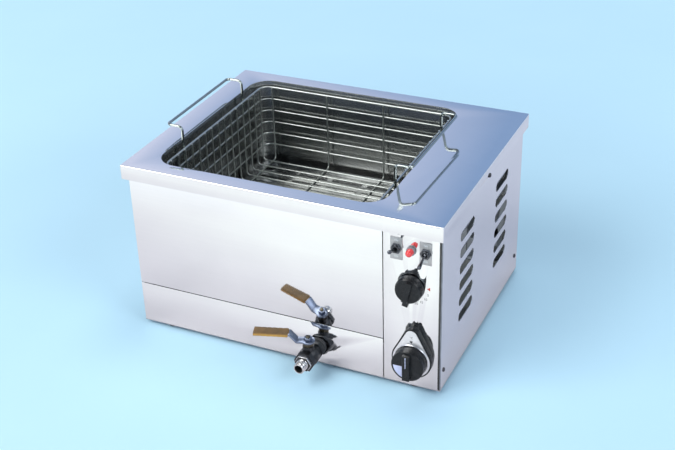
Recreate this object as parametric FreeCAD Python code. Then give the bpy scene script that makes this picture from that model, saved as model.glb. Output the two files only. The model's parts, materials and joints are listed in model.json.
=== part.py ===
import FreeCAD, Part
import math
import os

# Countertop egg boiler: a polished steel case with a rounded tank let into its cover,
# a wire egg basket with two raised handles, a control panel and a drain valve.
# Millimetres. +Z is up, the front faces -Y and +X is to the right.
# The origin lies on the counter, at the middle of the whole object's footprint.

Vector = FreeCAD.Vector
X_DIR = Vector(1, 0, 0)
Y_DIR = Vector(0, 1, 0)
Z_DIR = Vector(0, 0, 1)

# Case
body_height = 330.0
foot_height = 8.0
cover_left_margin = 48.0
cover_end_margin = 32.0
cover_sheet = 1.5
cover_bend = 2.0
cover_lip = 27.0
side_overhang = 6.0
end_overhang = 14.0
case_sheet = 1.2
return_depth = 7.0
return_inset = 2.0
seam_height = 83.0
seam_gap = 1.5
corner_strip = 5.0
control_width = 98.0
side_flange = 12.0
post_width = 16.0
post_sheet = 2.0
rail_height = 30.0
rail_sheet = 1.5
partition_gap = 0.8

# Tank
tank_width = 432.0
tank_length = 400.0
tank_height = 200.0
tank_corner = 40.0
tank_floor_radius = 15.0
tank_sheet = 1.0
tank_flange = 9.0
insulation_thickness = 8.0
insulation_drop = 6.0
insulation_base = 34.0

# Heater and guard plate
heater_tube_radius = 4.0
heater_bend_radius = 28.0
heater_leg_half = 30.0
heater_leg_gap = 15.0
heater_far_gap = 62.0
heater_lift = 24.0
heater_tail = 26.0
heater_stud_radius = 2.0
heater_stud_length = 12.0
heater_gland_radius = 8.0
heater_gland_sheet = 3.0
heater_nut_flats = 13.0
heater_nut_height = 6.0
heater_window_margin = 16.0
sensor_bulb_radius = 4.0
sensor_bulb_length = 100.0
sensor_bulb_gap = 12.0
sensor_neck_radius = 1.2
sensor_bend = 12.0
sensor_gland_radius = 8.0
sensor_gland_length = 6.0
sensor_run = 24.0
guard_height = 32.0
guard_sheet = 1.5
guard_gap = 16.0
guard_leg_width = 50.0
guard_slot_width = 12.0
guard_slot_columns = 5
guard_slot_rows = 9
guard_slot_web = 12.0
guard_side_margin = 21.0
guard_end_margin = 34.0

# Basket
basket_gap = 10.0
basket_corner = 20.0
rim_drop = 10.0
rim_wire_radius = 2.0
wire_radius = 1.5
hoop_count = 5
low_hoop_gap = 28.5
cross_wire_count = 15
cross_wire_margin = 19.0
long_wire_count = 4
long_wire_margin = 18.0
wire_bend = 8.0
handle_wire_radius = 2.5
handle_width = 224.0
handle_rise = 31.0
handle_reach = 30.0
handle_depth = 90.0
handle_bend = 8.0

# Drain valve
drain_offset = 63.0
drain_height = 33.0
drain_setback = 42.0
pipe_radius = 10.65
pipe_bore = 8.0
pipe_elbow = 24.0
boss_radius = 15.0
boss_height = 14.0
grommet_radius = 17.0
grommet_lip = 2.0
grommet_wall = 2.5
boss_sheet = 2.0
valve_standoff = 6.0
valve_centre = 33.0
valve_body_radius = 16.0
valve_bulge_radius = 18.0
valve_cavity_radius = 13.2
valve_cavity_half = 12.0
valve_port_radius = 7.5
valve_socket = 12.0
valve_end = 52.0
valve_hex_flats = 34.0
valve_hex_length = 10.0
valve_wall = 3.0
ball_top = 11.0
ball_slot = 3.0
ball_slot_depth = 2.5
ball_radius = 12.5
seat_clearance = 0.05
seat_inner = 7.0
spout_reach = 74.0
spout_radius = 10.48
spout_hex_flats = 28.0
spout_hex_length = 6.0
stem_radius = 5.0
stem_clearance = 0.05
bonnet_radius = 10.0
bonnet_height = 24.0
gland_nut_flats = 17.0
gland_nut_height = 7.0
lever_gap = 1.0
lever_sheet = 3.0
lever_width = 18.0
lever_reach = 92.0
lever_hub_radius = 12.0
lever_flat = 20.0
lever_slope = 12.0
lever_rise = 14.0
lever_nut_flats = 13.0
lever_nut_height = 6.0
thread_radius = 4.0
thread_end = 1.5
sleeve_length = 62.0
sleeve_wall = 2.2
valve_open_at_rest = 17.0

# Controls
switch_spacing = 51.0
switch_drop = 62.0
switch_plate_width = 21.0
switch_plate_height = 41.0
switch_plate_sheet = 1.0
switch_body_width = 18.0
switch_body_height = 28.0
switch_body_depth = 26.0
bush_radius = 6.5
bush_bore = 4.4
bush_length = 6.0
switch_nut_flats = 17.0
switch_nut_height = 2.5
switch_pivot = 3.5
toggle_hub_radius = 3.4
toggle_hub_length = 4.8
toggle_pin_radius = 0.95
toggle_pin_clearance = 0.05
toggle_pin_reach = 5.7
toggle_length = 31.0
toggle_root_radius = 1.8
toggle_tip_radius = 3.4
toggle_throw = 18.0
lamp_radius = 6.0
lamp_length = 15.0
lamp_bezel_radius = 8.0
lamp_bezel_height = 3.0
lamp_body_radius = 5.0
lamp_body_depth = 30.0
timer_drop = 131.0
timer_knob_radius = 21.5
timer_knob_height = 17.0
timer_nose = 32.0
timer_nose_width = 9.0
timer_nose_thickness = 7.0
timer_taper = 2.0
timer_grip_width = 9.0
timer_grip_height = 5.0
timer_turn = 193.0
timer_case_side = 54.0
timer_case_depth = 38.0
thermostat_height = 61.0
thermostat_shift = 6.0
bezel_radius = 36.0
bezel_thickness = 12.0
bezel_top = 62.0
bezel_top_width = 26.0
faceplate_inset = 2.5
faceplate_sheet = 0.8
dial_knob_radius = 29.0
dial_knob_height = 20.0
dial_ring_width = 2.0
dial_ring_height = 2.0
thermostat_case_side = 46.0
thermostat_case_depth = 44.0
shaft_radius = 3.0
shaft_clearance = 0.05
knob_gap = 0.8
grip_width = 13.0
grip_height = 8.0
spindle_bush_radius = 5.0
bush_proud = 1.5
shaft_hold = 10.0
knob_face = 3.0
bezel_wall = 2.5
bezel_hub_radius = 9.0
dial_gap = 0.5
dial_round = 2.0
inlay_radius = 25.0
inlay_gap = 1.5
inlay_depth = 0.6

# Right-hand side louvres
louvre_count = 6
louvre_pitch = 32.0
louvre_length = 72.0
louvre_height = 20.0
louvre_top = 255.0
louvre_front_column = 124.0
louvre_back_column = 314.0
louvre_tilt = 22.0

# Electrics in the control compartment
electrics_gap = 25.0
contactor_width = 45.0
contactor_depth = 75.0
contactor_height = 70.0
contactor_step = 40.0
contactor_notch = 15.0
contactor_offset = 40.0
terminal_width = 50.0
terminal_depth = 22.0
terminal_height = 20.0
terminal_well = 4.0
terminal_count = 3

# Fasteners, feet and fittings
screw_radius = 2.0
screw_head_radius = 4.0
screw_head_height = 2.2
screw_clearance = 0.2
cover_screw_drop = 18.0
side_screw_inset = 16.0
side_screw_height = 36.0
screw_grip = 8.0
foot_radius = 13.0
foot_inset_x = 51.0
foot_inset_y = 20.0
foot_screw_length = 12.0
foot_screw_recess = 3.0
gland_reach = 22.0
gland_radius = 11.0
gland_bore = 4.5
gland_inner_length = 12.0
gland_flange_radius = 14.0
gland_flange_height = 4.0
gland_height = 60.0
gland_inset = 54.0
cover_screw_grip = 14.0
spacer_radius = 5.0
foot_recess_radius = 5.0
wall_clearance = 0.3
fit_clearance = 0.05
drill_reach = 5.0

# Places worked out from the sizes above
tank_right_margin = (side_overhang + corner_strip + control_width + case_sheet + partition_gap
                     + insulation_thickness + tank_sheet)
tank_shift = (cover_left_margin - tank_right_margin) / 2
cover_width = cover_left_margin + tank_width + tank_right_margin
cover_depth = tank_length + 2 * cover_end_margin
case_half_x = cover_width / 2 - side_overhang
case_half_y = cover_depth / 2 - end_overhang
case_bottom = foot_height
cover_top = foot_height + body_height
cover_under = cover_top - cover_sheet
case_middle_y = (spout_reach - gland_reach) / 2
front_y = case_middle_y - case_half_y
back_y = case_middle_y + case_half_y
control_right = case_half_x - corner_strip
control_left = control_right - control_width
front_right = control_left - seam_gap
partition_left = control_left - case_sheet
panel_bottom = case_bottom + case_sheet
floor_top = panel_bottom + case_sheet
post_top = cover_under - case_sheet

tank_floor = cover_top - tank_height
tank_left = tank_shift - tank_width / 2
tank_right = tank_shift + tank_width / 2
tank_front = case_middle_y - tank_length / 2
tank_back = case_middle_y + tank_length / 2

guard_top = tank_floor + guard_height
rim_z = cover_top - rim_drop
hoop_half_x = tank_width / 2 - basket_gap - handle_wire_radius * 2
hoop_half_y = tank_length / 2 - basket_gap
upright_half_x = hoop_half_x - 2 * wire_radius
upright_half_y = hoop_half_y - 2 * wire_radius
long_wire_z = guard_top + wire_radius
cross_wire_z = long_wire_z + 2 * wire_radius
hoop_pitch = (rim_z - cross_wire_z - low_hoop_gap) / hoop_count
cross_wire_pitch = 2 * (upright_half_y - cross_wire_margin) / (cross_wire_count - 1)
long_wire_pitch = 2 * (upright_half_x - long_wire_margin) / (long_wire_count - 1)
guard_width = tank_width - 2 * guard_gap
guard_length = tank_length - 2 * guard_gap
guard_slot_pitch_x = (guard_width - 2 * guard_side_margin + guard_slot_web) / guard_slot_columns
guard_slot_length = guard_slot_pitch_x - guard_slot_web
guard_slot_pitch_y = (guard_length - 2 * guard_end_margin - guard_slot_width) / (guard_slot_rows - 1)
heater_pair_y = tank_length / 2 - tank_corner - guard_leg_width - heater_leg_gap - heater_leg_half

drain_z = case_bottom + drain_height
drain_inlet_y = tank_front + drain_setback
valve_y = front_y - valve_centre
valve_back_y = front_y - valve_standoff
bonnet_top = drain_z + bonnet_height
gland_nut_top = bonnet_top + gland_nut_height
lever_bottom = gland_nut_top + lever_gap

control_middle = (control_left + control_right) / 2
switch_z = cover_top - switch_drop
timer_z = cover_top - timer_drop
thermostat_x = control_middle + thermostat_shift
thermostat_z = case_bottom + thermostat_height
dial_face_y = front_y - bezel_thickness - faceplate_sheet
panel_back_y = front_y + case_sheet
post_front = panel_back_y + return_depth
post_back = back_y - case_sheet - return_depth
grommet_hole = pipe_radius + grommet_wall
gland_x = case_half_x - gland_inset
gland_z = case_bottom + gland_height


def box(x0, x1, y0, y1, z0, z1):
    """A box between two corners."""
    return Part.makeBox(x1 - x0, y1 - y0, z1 - z0, Vector(x0, y0, z0))


def rod(start, direction, radius, length):
    """A cylinder that starts at a point and runs along a direction."""
    return Part.makeCylinder(radius, length, start, direction)


def hexagon(start, direction, flats, length):
    """A hexagonal prism given by its width across flats."""
    radius = flats / math.sqrt(3)
    corners = []
    for i in range(7):
        angle = math.radians(60 * i)
        corners.append(Vector(radius * math.cos(angle), radius * math.sin(angle), 0))
    prism = Part.Face(Part.makePolygon(corners)).extrude(Z_DIR * length)
    prism.Placement = FreeCAD.Placement(start, FreeCAD.Rotation(Z_DIR, direction))
    return prism


def rounded_box(x0, x1, y0, y1, z0, z1, radius):
    """A box whose four upright edges are rounded."""
    block = box(x0, x1, y0, y1, z0, z1)
    upright = [e for e in block.Edges if abs(e.tangentAt(e.FirstParameter).z) > 0.5]
    return block.makeFillet(radius, upright)


def folded_box(x0, x1, y0, y1, z0, z1, radius):
    """A box whose upright edges and top edges are rounded, as folded sheet is."""
    block = box(x0, x1, y0, y1, z0, z1)
    return block.makeFillet(radius, [e for e in block.Edges if e.BoundBox.ZMax > z1 - 0.001])


def joined(shapes):
    """Several touching shapes as one solid."""
    whole = shapes[0].fuse(shapes[1:]) if len(shapes) > 1 else shapes[0]
    return whole.Solids[0] if len(whole.Solids) == 1 else whole


def bent_wire(points, radius, bend, closed=False):
    """A round wire through points, with an arc of one bend radius at each corner."""
    count = len(points)
    corners = range(count) if closed else range(1, count - 1)
    arc_start = {}
    arc_end = {}
    pieces = []
    for i in corners:
        before = points[i - 1]
        corner = points[i]
        after = points[(i + 1) % count]
        incoming = (corner - before).normalize()
        outgoing = (after - corner).normalize()
        turn = incoming.getAngle(outgoing)
        tangent = bend * math.tan(turn / 2)
        arc_start[i] = corner - incoming * tangent
        arc_end[i] = corner + outgoing * tangent
        axis = incoming.cross(outgoing).normalize()
        centre = arc_start[i] + axis.cross(incoming) * bend
        section = Part.Face(Part.Wire(Part.makeCircle(radius, arc_start[i], incoming)))
        pieces.append(section.revolve(centre, axis, math.degrees(turn)))
    spans = count if closed else count - 1
    for i in range(spans):
        j = (i + 1) % count
        start = arc_end.get(i, points[i])
        end = arc_start.get(j, points[j])
        pieces.append(rod(start, end - start, radius, (end - start).Length))
    return joined(pieces)


def screw(seat, outward, length):
    """A pan-head screw: its head stands outward from the seat and its shank runs inward."""
    head = rod(seat, outward, screw_head_radius, screw_head_height)
    rim = [e for e in head.Edges if len(e.Vertexes) == 1 and (e.CenterOfMass - seat).Length > 0.5]
    head = head.makeChamfer(screw_head_height / 2, rim)
    shank = rod(seat - outward * length, outward, screw_radius, length)
    return joined([head, shank])


def screw_hole(seat, outward, depth):
    """The clearance hole for a screw, through a sheet at its seat."""
    start = seat + outward
    return rod(start, outward * -1, screw_radius + screw_clearance, depth)


def top_cover():
    """The pressed cover: a flat plate with the tank's opening and a lip folded down all round."""
    half_x = cover_width / 2
    half_y = cover_depth / 2
    y0 = case_middle_y - half_y
    y1 = case_middle_y + half_y
    lip_bottom = cover_top - cover_lip
    plate = folded_box(-half_x, half_x, y0, y1, lip_bottom, cover_top, cover_bend)
    hollow = folded_box(-half_x + cover_sheet, half_x - cover_sheet, y0 + cover_sheet, y1 - cover_sheet,
                        lip_bottom - 1, cover_under, cover_bend - cover_sheet)
    opening = rounded_box(tank_left, tank_right, tank_front, tank_back,
                          cover_under - 1, cover_top + 1, tank_corner)
    cover = plate.cut([hollow, opening])
    holes = [screw_hole(seat, side, cover_sheet + 2) for seat, side in cover_screw_seats()]
    return cover.cut(holes)


def cover_screw_seats():
    """Where the cover's side screws sit, with their outward directions."""
    seats = []
    for side in (-1, 1):
        seats.append((Vector(side * cover_width / 2, case_middle_y, cover_top - cover_screw_drop),
                      X_DIR * side))
    return seats


def side_screw_seats():
    """Where the side panels' screws sit, with their outward directions."""
    seats = []
    for side in (-1, 1):
        for y in (front_y + side_screw_inset, back_y - side_screw_inset):
            seats.append((Vector(side * case_half_x, y, case_bottom + side_screw_height),
                          X_DIR * side))
    return seats


def tank():
    """The deep-drawn tank with its welding flange, floor outlet and side holes."""
    outer = rounded_box(tank_left - tank_sheet, tank_right + tank_sheet,
                        tank_front - tank_sheet, tank_back + tank_sheet,
                        tank_floor - tank_sheet, cover_under, tank_corner + tank_sheet)
    inner = rounded_box(tank_left, tank_right, tank_front, tank_back,
                        tank_floor, cover_under + 1, tank_corner)
    outer = outer.makeFillet(tank_floor_radius + tank_sheet, edges_at(outer, tank_floor - tank_sheet))
    inner = inner.makeFillet(tank_floor_radius, edges_at(inner, tank_floor))
    flange = rounded_box(tank_left - tank_flange, tank_right + tank_flange,
                         tank_front - tank_flange, tank_back + tank_flange,
                         cover_under - tank_sheet, cover_under, tank_corner + tank_flange)
    shell = outer.fuse(flange).cut(inner)
    drill = 2 * drill_reach
    cuts = [rod(Vector(drain_offset, drain_inlet_y, tank_floor - drill_reach), Z_DIR, pipe_bore, drill)]
    for seat in heater_leg_seats():
        cuts.append(rod(seat - X_DIR * drill_reach, X_DIR, heater_tube_radius + wall_clearance, drill))
    cuts.append(rod(sensor_seat() - X_DIR * drill_reach, X_DIR, sensor_neck_radius + wall_clearance, drill))
    return shell.cut(cuts)


def edges_at(shape, z):
    """The edges of a shape that lie at one height."""
    return [e for e in shape.Edges if max(abs(e.BoundBox.ZMin - z), abs(e.BoundBox.ZMax - z)) < 1e-6]


def front_panel(z0, z1):
    """A wide front panel with returns folded back along its top and bottom edges."""
    x0 = -case_half_x
    fold_x0 = x0 + side_flange + return_inset
    fold_x1 = front_right - return_inset
    fold_y = panel_back_y + return_depth
    sheet = box(x0, front_right, front_y, panel_back_y, z0, z1)
    lower_return = box(fold_x0, fold_x1, front_y, fold_y, z0, z0 + case_sheet)
    upper_return = box(fold_x0, fold_x1, front_y, fold_y, z1 - case_sheet, z1)
    return joined([sheet, lower_return, upper_return])


def front_upper_panel():
    """The polished panel between the seam and the cover."""
    return front_panel(case_bottom + seam_height + seam_gap / 2, cover_under)


def front_lower_panel():
    """The polished panel below the seam, with the drain pipe's hole."""
    panel = front_panel(panel_bottom, case_bottom + seam_height - seam_gap / 2)
    return panel.cut(rod(Vector(drain_offset, front_y - 1, drain_z), Y_DIR, grommet_hole, case_sheet + 2))


def control_panel():
    """The full-height control panel with its switch, lamp and spindle holes."""
    fold_y = panel_back_y + return_depth
    sheet = box(control_left, control_right, front_y, panel_back_y, panel_bottom, cover_under)
    left_return = box(control_left, control_left + case_sheet, front_y, fold_y, floor_top, post_top)
    right_return = box(control_right - case_sheet, control_right, front_y, fold_y, floor_top, post_top)
    holes = []
    for x in switch_places():
        holes.append(panel_hole(x, switch_z, bush_radius + wall_clearance))
    holes.append(panel_hole(control_middle, switch_z, lamp_body_radius + wall_clearance))
    holes.append(panel_hole(control_middle, timer_z, spindle_bush_radius + wall_clearance))
    holes.append(panel_hole(thermostat_x, thermostat_z, spindle_bush_radius + wall_clearance))
    return joined([sheet, left_return, right_return]).cut(holes)


def panel_hole(x, z, radius):
    """A round hole through the control panel."""
    return rod(Vector(x, front_y - 1, z), Y_DIR, radius, case_sheet + 2)


def switch_places():
    """The two toggle switches' X positions, left one first."""
    return (control_middle - switch_spacing / 2, control_middle + switch_spacing / 2)


def side_panel(side):
    """A side panel with flanges folded in along all four edges."""
    y0 = front_y + case_sheet
    y1 = back_y - case_sheet
    outer_x = case_half_x
    inner_x = outer_x - case_sheet
    pieces = [box(inner_x, outer_x, y0, y1, panel_bottom, cover_under)]
    pieces.append(box(control_right, outer_x, y0, y0 + case_sheet, panel_bottom, cover_under))
    pieces.append(box(control_right, outer_x, y1 - case_sheet, y1, panel_bottom, cover_under))
    pieces.append(box(outer_x - side_flange, outer_x, y0, y1, panel_bottom, floor_top))
    pieces.append(box(outer_x - side_flange, outer_x, y0, y1, post_top, cover_under))
    panel = joined(pieces)
    if side < 0:
        panel = panel.mirror(Vector(0, 0, 0), X_DIR)
    holes = []
    for seat, outward in side_screw_seats() + cover_screw_seats():
        if outward.x * side > 0:
            depth = abs(seat.x) - inner_x + 2
            holes.append(screw_hole(seat, outward, depth))
    return panel.cut(holes)


def left_side_panel():
    """The plain left-hand side panel."""
    return side_panel(-1)


def right_side_panel():
    """The right-hand side panel with two columns of lanced louvres that tilt inward."""
    panel = side_panel(1)
    slots = []
    flaps = []
    for column in (louvre_front_column, louvre_back_column):
        for i in range(louvre_count):
            centre_y = front_y + column
            centre_z = case_bottom + louvre_top - i * louvre_pitch
            slots.append(stadium(centre_y, centre_z, 3 * case_sheet))
            flap = stadium(centre_y, centre_z, case_sheet)
            hinge = Vector(case_half_x - case_sheet, centre_y, centre_z + louvre_height / 2)
            flap.rotate(hinge, Y_DIR, louvre_tilt)
            flap.translate(Z_DIR * case_sheet)
            flaps.append(flap)
    panel = panel.cut(slots)
    return joined([panel] + flaps)


def stadium(centre_y, centre_z, thickness):
    """A slot-shaped plate with round ends, lying in the right-hand side panel."""
    radius = louvre_height / 2
    half = louvre_length / 2 - radius
    x0 = case_half_x - case_sheet / 2 - thickness / 2
    start = Vector(x0, centre_y, centre_z)
    plate = box(x0, x0 + thickness, centre_y - half, centre_y + half, centre_z - radius, centre_z + radius)
    ends = [rod(start + Y_DIR * (step * half), X_DIR, radius, thickness) for step in (-1, 1)]
    return joined([plate] + ends)


def back_panel():
    """The back panel with top and bottom returns and the cable gland's hole."""
    x0 = -case_half_x
    fold_x0 = x0 + side_flange + return_inset
    fold_y = back_y - case_sheet - return_depth
    sheet = box(x0, case_half_x, back_y - case_sheet, back_y, panel_bottom, cover_under)
    lower_return = box(fold_x0, -fold_x0, fold_y, back_y, panel_bottom, floor_top)
    upper_return = box(fold_x0, -fold_x0, fold_y, back_y, post_top, cover_under)
    hole = rod(Vector(gland_x, back_y + 1, gland_z), Y_DIR * -1, gland_radius + wall_clearance,
               case_sheet + 2)
    return joined([sheet, lower_return, upper_return]).cut(hole)


def base_pan():
    """The base sheet that all the panels stand on, drilled for the feet's screws."""
    sheet = box(-case_half_x, case_half_x, front_y, back_y, case_bottom, panel_bottom)
    holes = [rod(Vector(x, y, 0), Z_DIR, screw_radius + screw_clearance, panel_bottom + 1)
             for x, y in foot_places()]
    return sheet.cut(holes)


def foot_places():
    """The four feet's X and Y positions."""
    xs = (-case_half_x + foot_inset_x, case_half_x - foot_inset_x)
    ys = (front_y + foot_inset_y, back_y - foot_inset_y)
    return [(x, y) for x in xs for y in ys]


def feet():
    """Four rubber feet, each with a recess for its screw's head."""
    shapes = []
    for x, y in foot_places():
        foot = rod(Vector(x, y, 0), Z_DIR, foot_radius, foot_height)
        recess = rod(Vector(x, y, 0), Z_DIR, foot_recess_radius, foot_screw_recess)
        hole = rod(Vector(x, y, 0), Z_DIR, screw_radius + screw_clearance, foot_height)
        shapes.append(foot.cut([recess, hole]))
    return Part.makeCompound(shapes)


def foot_screws():
    """The screws that hold the feet to the base pan."""
    return Part.makeCompound([screw(Vector(x, y, foot_screw_recess), Z_DIR * -1, foot_screw_length)
                              for x, y in foot_places()])


def corner_posts():
    """Four upright angles that carry the cover and tie the panels to the base."""
    posts = []
    for side in (-1, 1):
        for y_face, step in ((post_front, 1), (post_back, -1)):
            edge = side * (case_half_x - case_sheet)
            leg_x = span(edge, edge - side * post_width)
            web_x = span(edge, edge - side * post_sheet)
            leg_y = span(y_face, y_face + step * post_sheet)
            web_y = span(y_face, y_face + step * post_width)
            angle = joined([box(*leg_x, *leg_y, floor_top, post_top),
                            box(*web_x, *web_y, floor_top, post_top)])
            posts.append(angle)
    holes = [screw_hole(seat, outward, screw_grip + 2) for seat, outward in side_screw_seats()]
    return Part.makeCompound([post.cut(holes) for post in posts])


def span(a, b):
    """Two coordinates in rising order."""
    return (min(a, b), max(a, b))


def panel_rail():
    """The flat rail behind the front seam, from the left post to the partition."""
    seam_z = case_bottom + seam_height
    return box(-case_half_x + case_sheet + post_width, partition_left, post_front, post_front + rail_sheet,
               seam_z - rail_height / 2, seam_z + rail_height / 2)


def partition_wall():
    """The upright wall between the wet side and the control compartment, with the heaters' window."""
    y0 = panel_back_y + return_inset
    y1 = back_y - case_sheet - return_inset
    top = cover_under - 2 * return_inset
    foot_y0 = panel_back_y + return_depth + return_inset
    foot_y1 = back_y - case_sheet - return_depth - return_inset
    wall = box(partition_left, control_left, y0, y1, floor_top, top)
    foot = box(partition_left, control_left + side_flange, foot_y0, foot_y1, panel_bottom, floor_top)
    reach = heater_pair_y + heater_leg_half + heater_window_margin
    middle_z = tank_floor + heater_lift
    window = box(partition_left - 1, control_left + 1, case_middle_y - reach, case_middle_y + reach,
                 middle_z - heater_window_margin, middle_z + heater_window_margin)
    return joined([wall, foot]).cut(window)


def tank_insulation():
    """The mineral wool blanket round the tank's walls."""
    clear = tank_sheet
    far = tank_sheet + insulation_thickness
    z0 = tank_floor + insulation_base
    z1 = cover_under - tank_sheet - insulation_drop
    outer = rounded_box(tank_left - far, tank_right + far, tank_front - far, tank_back + far,
                        z0, z1, tank_corner + far)
    inner = rounded_box(tank_left - clear, tank_right + clear, tank_front - clear, tank_back + clear,
                        z0 - 1, z1 + 1, tank_corner + clear)
    return outer.cut(inner)


def heater_leg_seats():
    """Where the heater legs pass through the tank's right wall."""
    seats = []
    for pair in (-1, 1):
        for leg in (-1, 1):
            y = case_middle_y + pair * heater_pair_y + leg * heater_leg_half
            seats.append(Vector(tank_right, y, tank_floor + heater_lift))
    return seats


def heater_elements():
    """Two hairpin heater tubes with a terminal stud on each end."""
    elements = []
    z = tank_floor + heater_lift
    tail_x = tank_right + heater_tail
    far_x = tank_left + heater_far_gap
    for pair in (-1, 1):
        y = case_middle_y + pair * heater_pair_y
        near = y - heater_leg_half
        far = y + heater_leg_half
        tube = bent_wire([Vector(tail_x, near, z), Vector(far_x, near, z),
                          Vector(far_x, far, z), Vector(tail_x, far, z)],
                         heater_tube_radius, heater_bend_radius)
        studs = [rod(Vector(tail_x, leg, z), X_DIR, heater_stud_radius, heater_stud_length)
                 for leg in (near, far)]
        elements.append(joined([tube] + studs))
    return Part.makeCompound(elements)


def heater_glands():
    """The sealing glands that hold the heater legs in the tank's wall."""
    glands = []
    for seat in heater_leg_seats():
        outside = seat + X_DIR * tank_sheet
        gland = rod(outside, X_DIR, heater_gland_radius, heater_gland_sheet)
        nut = hexagon(outside + X_DIR * heater_gland_sheet, X_DIR, heater_nut_flats, heater_nut_height)
        bore = rod(seat, X_DIR, heater_tube_radius + fit_clearance, heater_tail)
        glands.append(joined([gland, nut]).cut(bore))
    return Part.makeCompound(glands)


def guard_plate():
    """The slotted plate on two folded legs that keeps the basket off the heaters."""
    x0 = tank_left + guard_gap
    x1 = x0 + guard_width
    y0 = tank_front + guard_gap
    y1 = y0 + guard_length
    pieces = [box(x0, x1, y0, y1, guard_top - guard_sheet, guard_top)]
    leg_y = (tank_corner, tank_length - tank_corner - guard_leg_width)
    for offset in leg_y:
        for edge in (x0, x1 - guard_sheet):
            pieces.append(box(edge, edge + guard_sheet, tank_front + offset,
                              tank_front + offset + guard_leg_width, tank_floor, guard_top))
    slots = []
    for column in range(guard_slot_columns):
        for row in range(guard_slot_rows):
            x = tank_shift + (column - (guard_slot_columns - 1) / 2) * guard_slot_pitch_x
            y = case_middle_y + (row - (guard_slot_rows - 1) / 2) * guard_slot_pitch_y
            slots.append(box(x - guard_slot_length / 2, x + guard_slot_length / 2,
                             y - guard_slot_width / 2, y + guard_slot_width / 2,
                             guard_top - guard_sheet - 1, guard_top + 1))
    return joined(pieces).cut(slots)


def sensor_seat():
    """Where the sensor's capillary passes through the tank's right wall."""
    return Vector(tank_right, case_middle_y, tank_floor + heater_lift)


def thermostat_sensor():
    """The sensing bulb in the tank and the capillary that runs to the thermostat."""
    seat = sensor_seat()
    bulb_end = seat.x - sensor_bulb_gap
    bulb = rod(Vector(bulb_end - sensor_bulb_length, seat.y, seat.z), X_DIR, sensor_bulb_radius,
               sensor_bulb_length)
    run_x = seat.x + sensor_run
    turn_y = panel_back_y + thermostat_case_depth + 2 * sensor_run
    capillary = bent_wire([Vector(bulb_end, seat.y, seat.z), Vector(run_x, seat.y, seat.z),
                           Vector(run_x, seat.y, thermostat_z), Vector(run_x, turn_y, thermostat_z),
                           Vector(thermostat_x, turn_y, thermostat_z),
                           Vector(thermostat_x, panel_back_y + thermostat_case_depth, thermostat_z)],
                          sensor_neck_radius, sensor_bend)
    return joined([bulb, capillary])


def sensor_gland():
    """The gland that seals the capillary in the tank's wall."""
    seat = sensor_seat()
    outside = seat + X_DIR * tank_sheet
    gland = rod(outside, X_DIR, sensor_gland_radius, sensor_gland_length)
    return gland.cut(rod(seat, X_DIR, sensor_neck_radius + fit_clearance, sensor_run))


def loop_points(half_x, half_y, z):
    """The four corners of a level loop round the basket."""
    return [Vector(tank_shift + sx * half_x, case_middle_y + sy * half_y, z)
            for sx, sy in ((-1, -1), (1, -1), (1, 1), (-1, 1))]


def basket_rim():
    """The basket's thicker top wire."""
    reach = wire_radius + rim_wire_radius
    return bent_wire(loop_points(upright_half_x + reach, upright_half_y + reach, rim_z),
                     rim_wire_radius, basket_corner, closed=True)


def basket_hoops():
    """The level wires round the basket below its rim."""
    hoops = []
    for i in range(1, hoop_count + 1):
        points = loop_points(hoop_half_x, hoop_half_y, rim_z - i * hoop_pitch)
        hoops.append(bent_wire(points, wire_radius, basket_corner, closed=True))
    return Part.makeCompound(hoops)


def basket_cross_wires():
    """The wires that run under the eggs from side to side and up both side walls."""
    wires = []
    for i in range(cross_wire_count):
        y = case_middle_y + (i - (cross_wire_count - 1) / 2) * cross_wire_pitch
        left = tank_shift - upright_half_x
        right = tank_shift + upright_half_x
        wires.append(bent_wire([Vector(left, y, rim_z), Vector(left, y, cross_wire_z),
                                Vector(right, y, cross_wire_z), Vector(right, y, rim_z)],
                               wire_radius, wire_bend))
    return Part.makeCompound(wires)


def basket_long_wires():
    """The wires that run from front to back under the others and up the end walls."""
    wires = []
    for i in range(long_wire_count):
        x = tank_shift + (i - (long_wire_count - 1) / 2) * long_wire_pitch
        front = case_middle_y - upright_half_y
        back = case_middle_y + upright_half_y
        wires.append(bent_wire([Vector(x, front, rim_z), Vector(x, front, long_wire_z),
                                Vector(x, back, long_wire_z), Vector(x, back, rim_z)],
                               wire_radius, wire_bend))
    return Part.makeCompound(wires)


def basket_handle(side):
    """A raised wire handle: two legs on the rim, bent outward and joined above the cover."""
    rim_face = upright_half_x + wire_radius + 2 * rim_wire_radius
    leg_x = tank_shift + side * (rim_face + handle_wire_radius)
    bar_x = leg_x + side * handle_reach
    low = rim_z - handle_depth
    high = cover_top + handle_rise
    front = case_middle_y - handle_width / 2
    back = case_middle_y + handle_width / 2
    return bent_wire([Vector(leg_x, front, low), Vector(leg_x, front, high), Vector(bar_x, front, high),
                      Vector(bar_x, back, high), Vector(leg_x, back, high), Vector(leg_x, back, low)],
                     handle_wire_radius, handle_bend)


def basket_handles():
    """The basket's left and right handles."""
    return Part.makeCompound([basket_handle(-1), basket_handle(1)])


def cover_screws():
    """The screws through the cover's lip."""
    return Part.makeCompound([screw(seat, outward, cover_screw_grip)
                              for seat, outward in cover_screw_seats()])


def cover_spacers():
    """The short tubes that hold the cover's lip off the side panels."""
    spacers = []
    for seat, outward in cover_screw_seats():
        start = seat - outward * side_overhang
        tube = rod(start, outward, spacer_radius, side_overhang - cover_sheet)
        spacers.append(tube.cut(rod(start, outward, screw_radius + screw_clearance, side_overhang)))
    return Part.makeCompound(spacers)


def side_screws():
    """The screws that hold the side panels to the corner posts."""
    return Part.makeCompound([screw(seat, outward, screw_grip) for seat, outward in side_screw_seats()])


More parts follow.
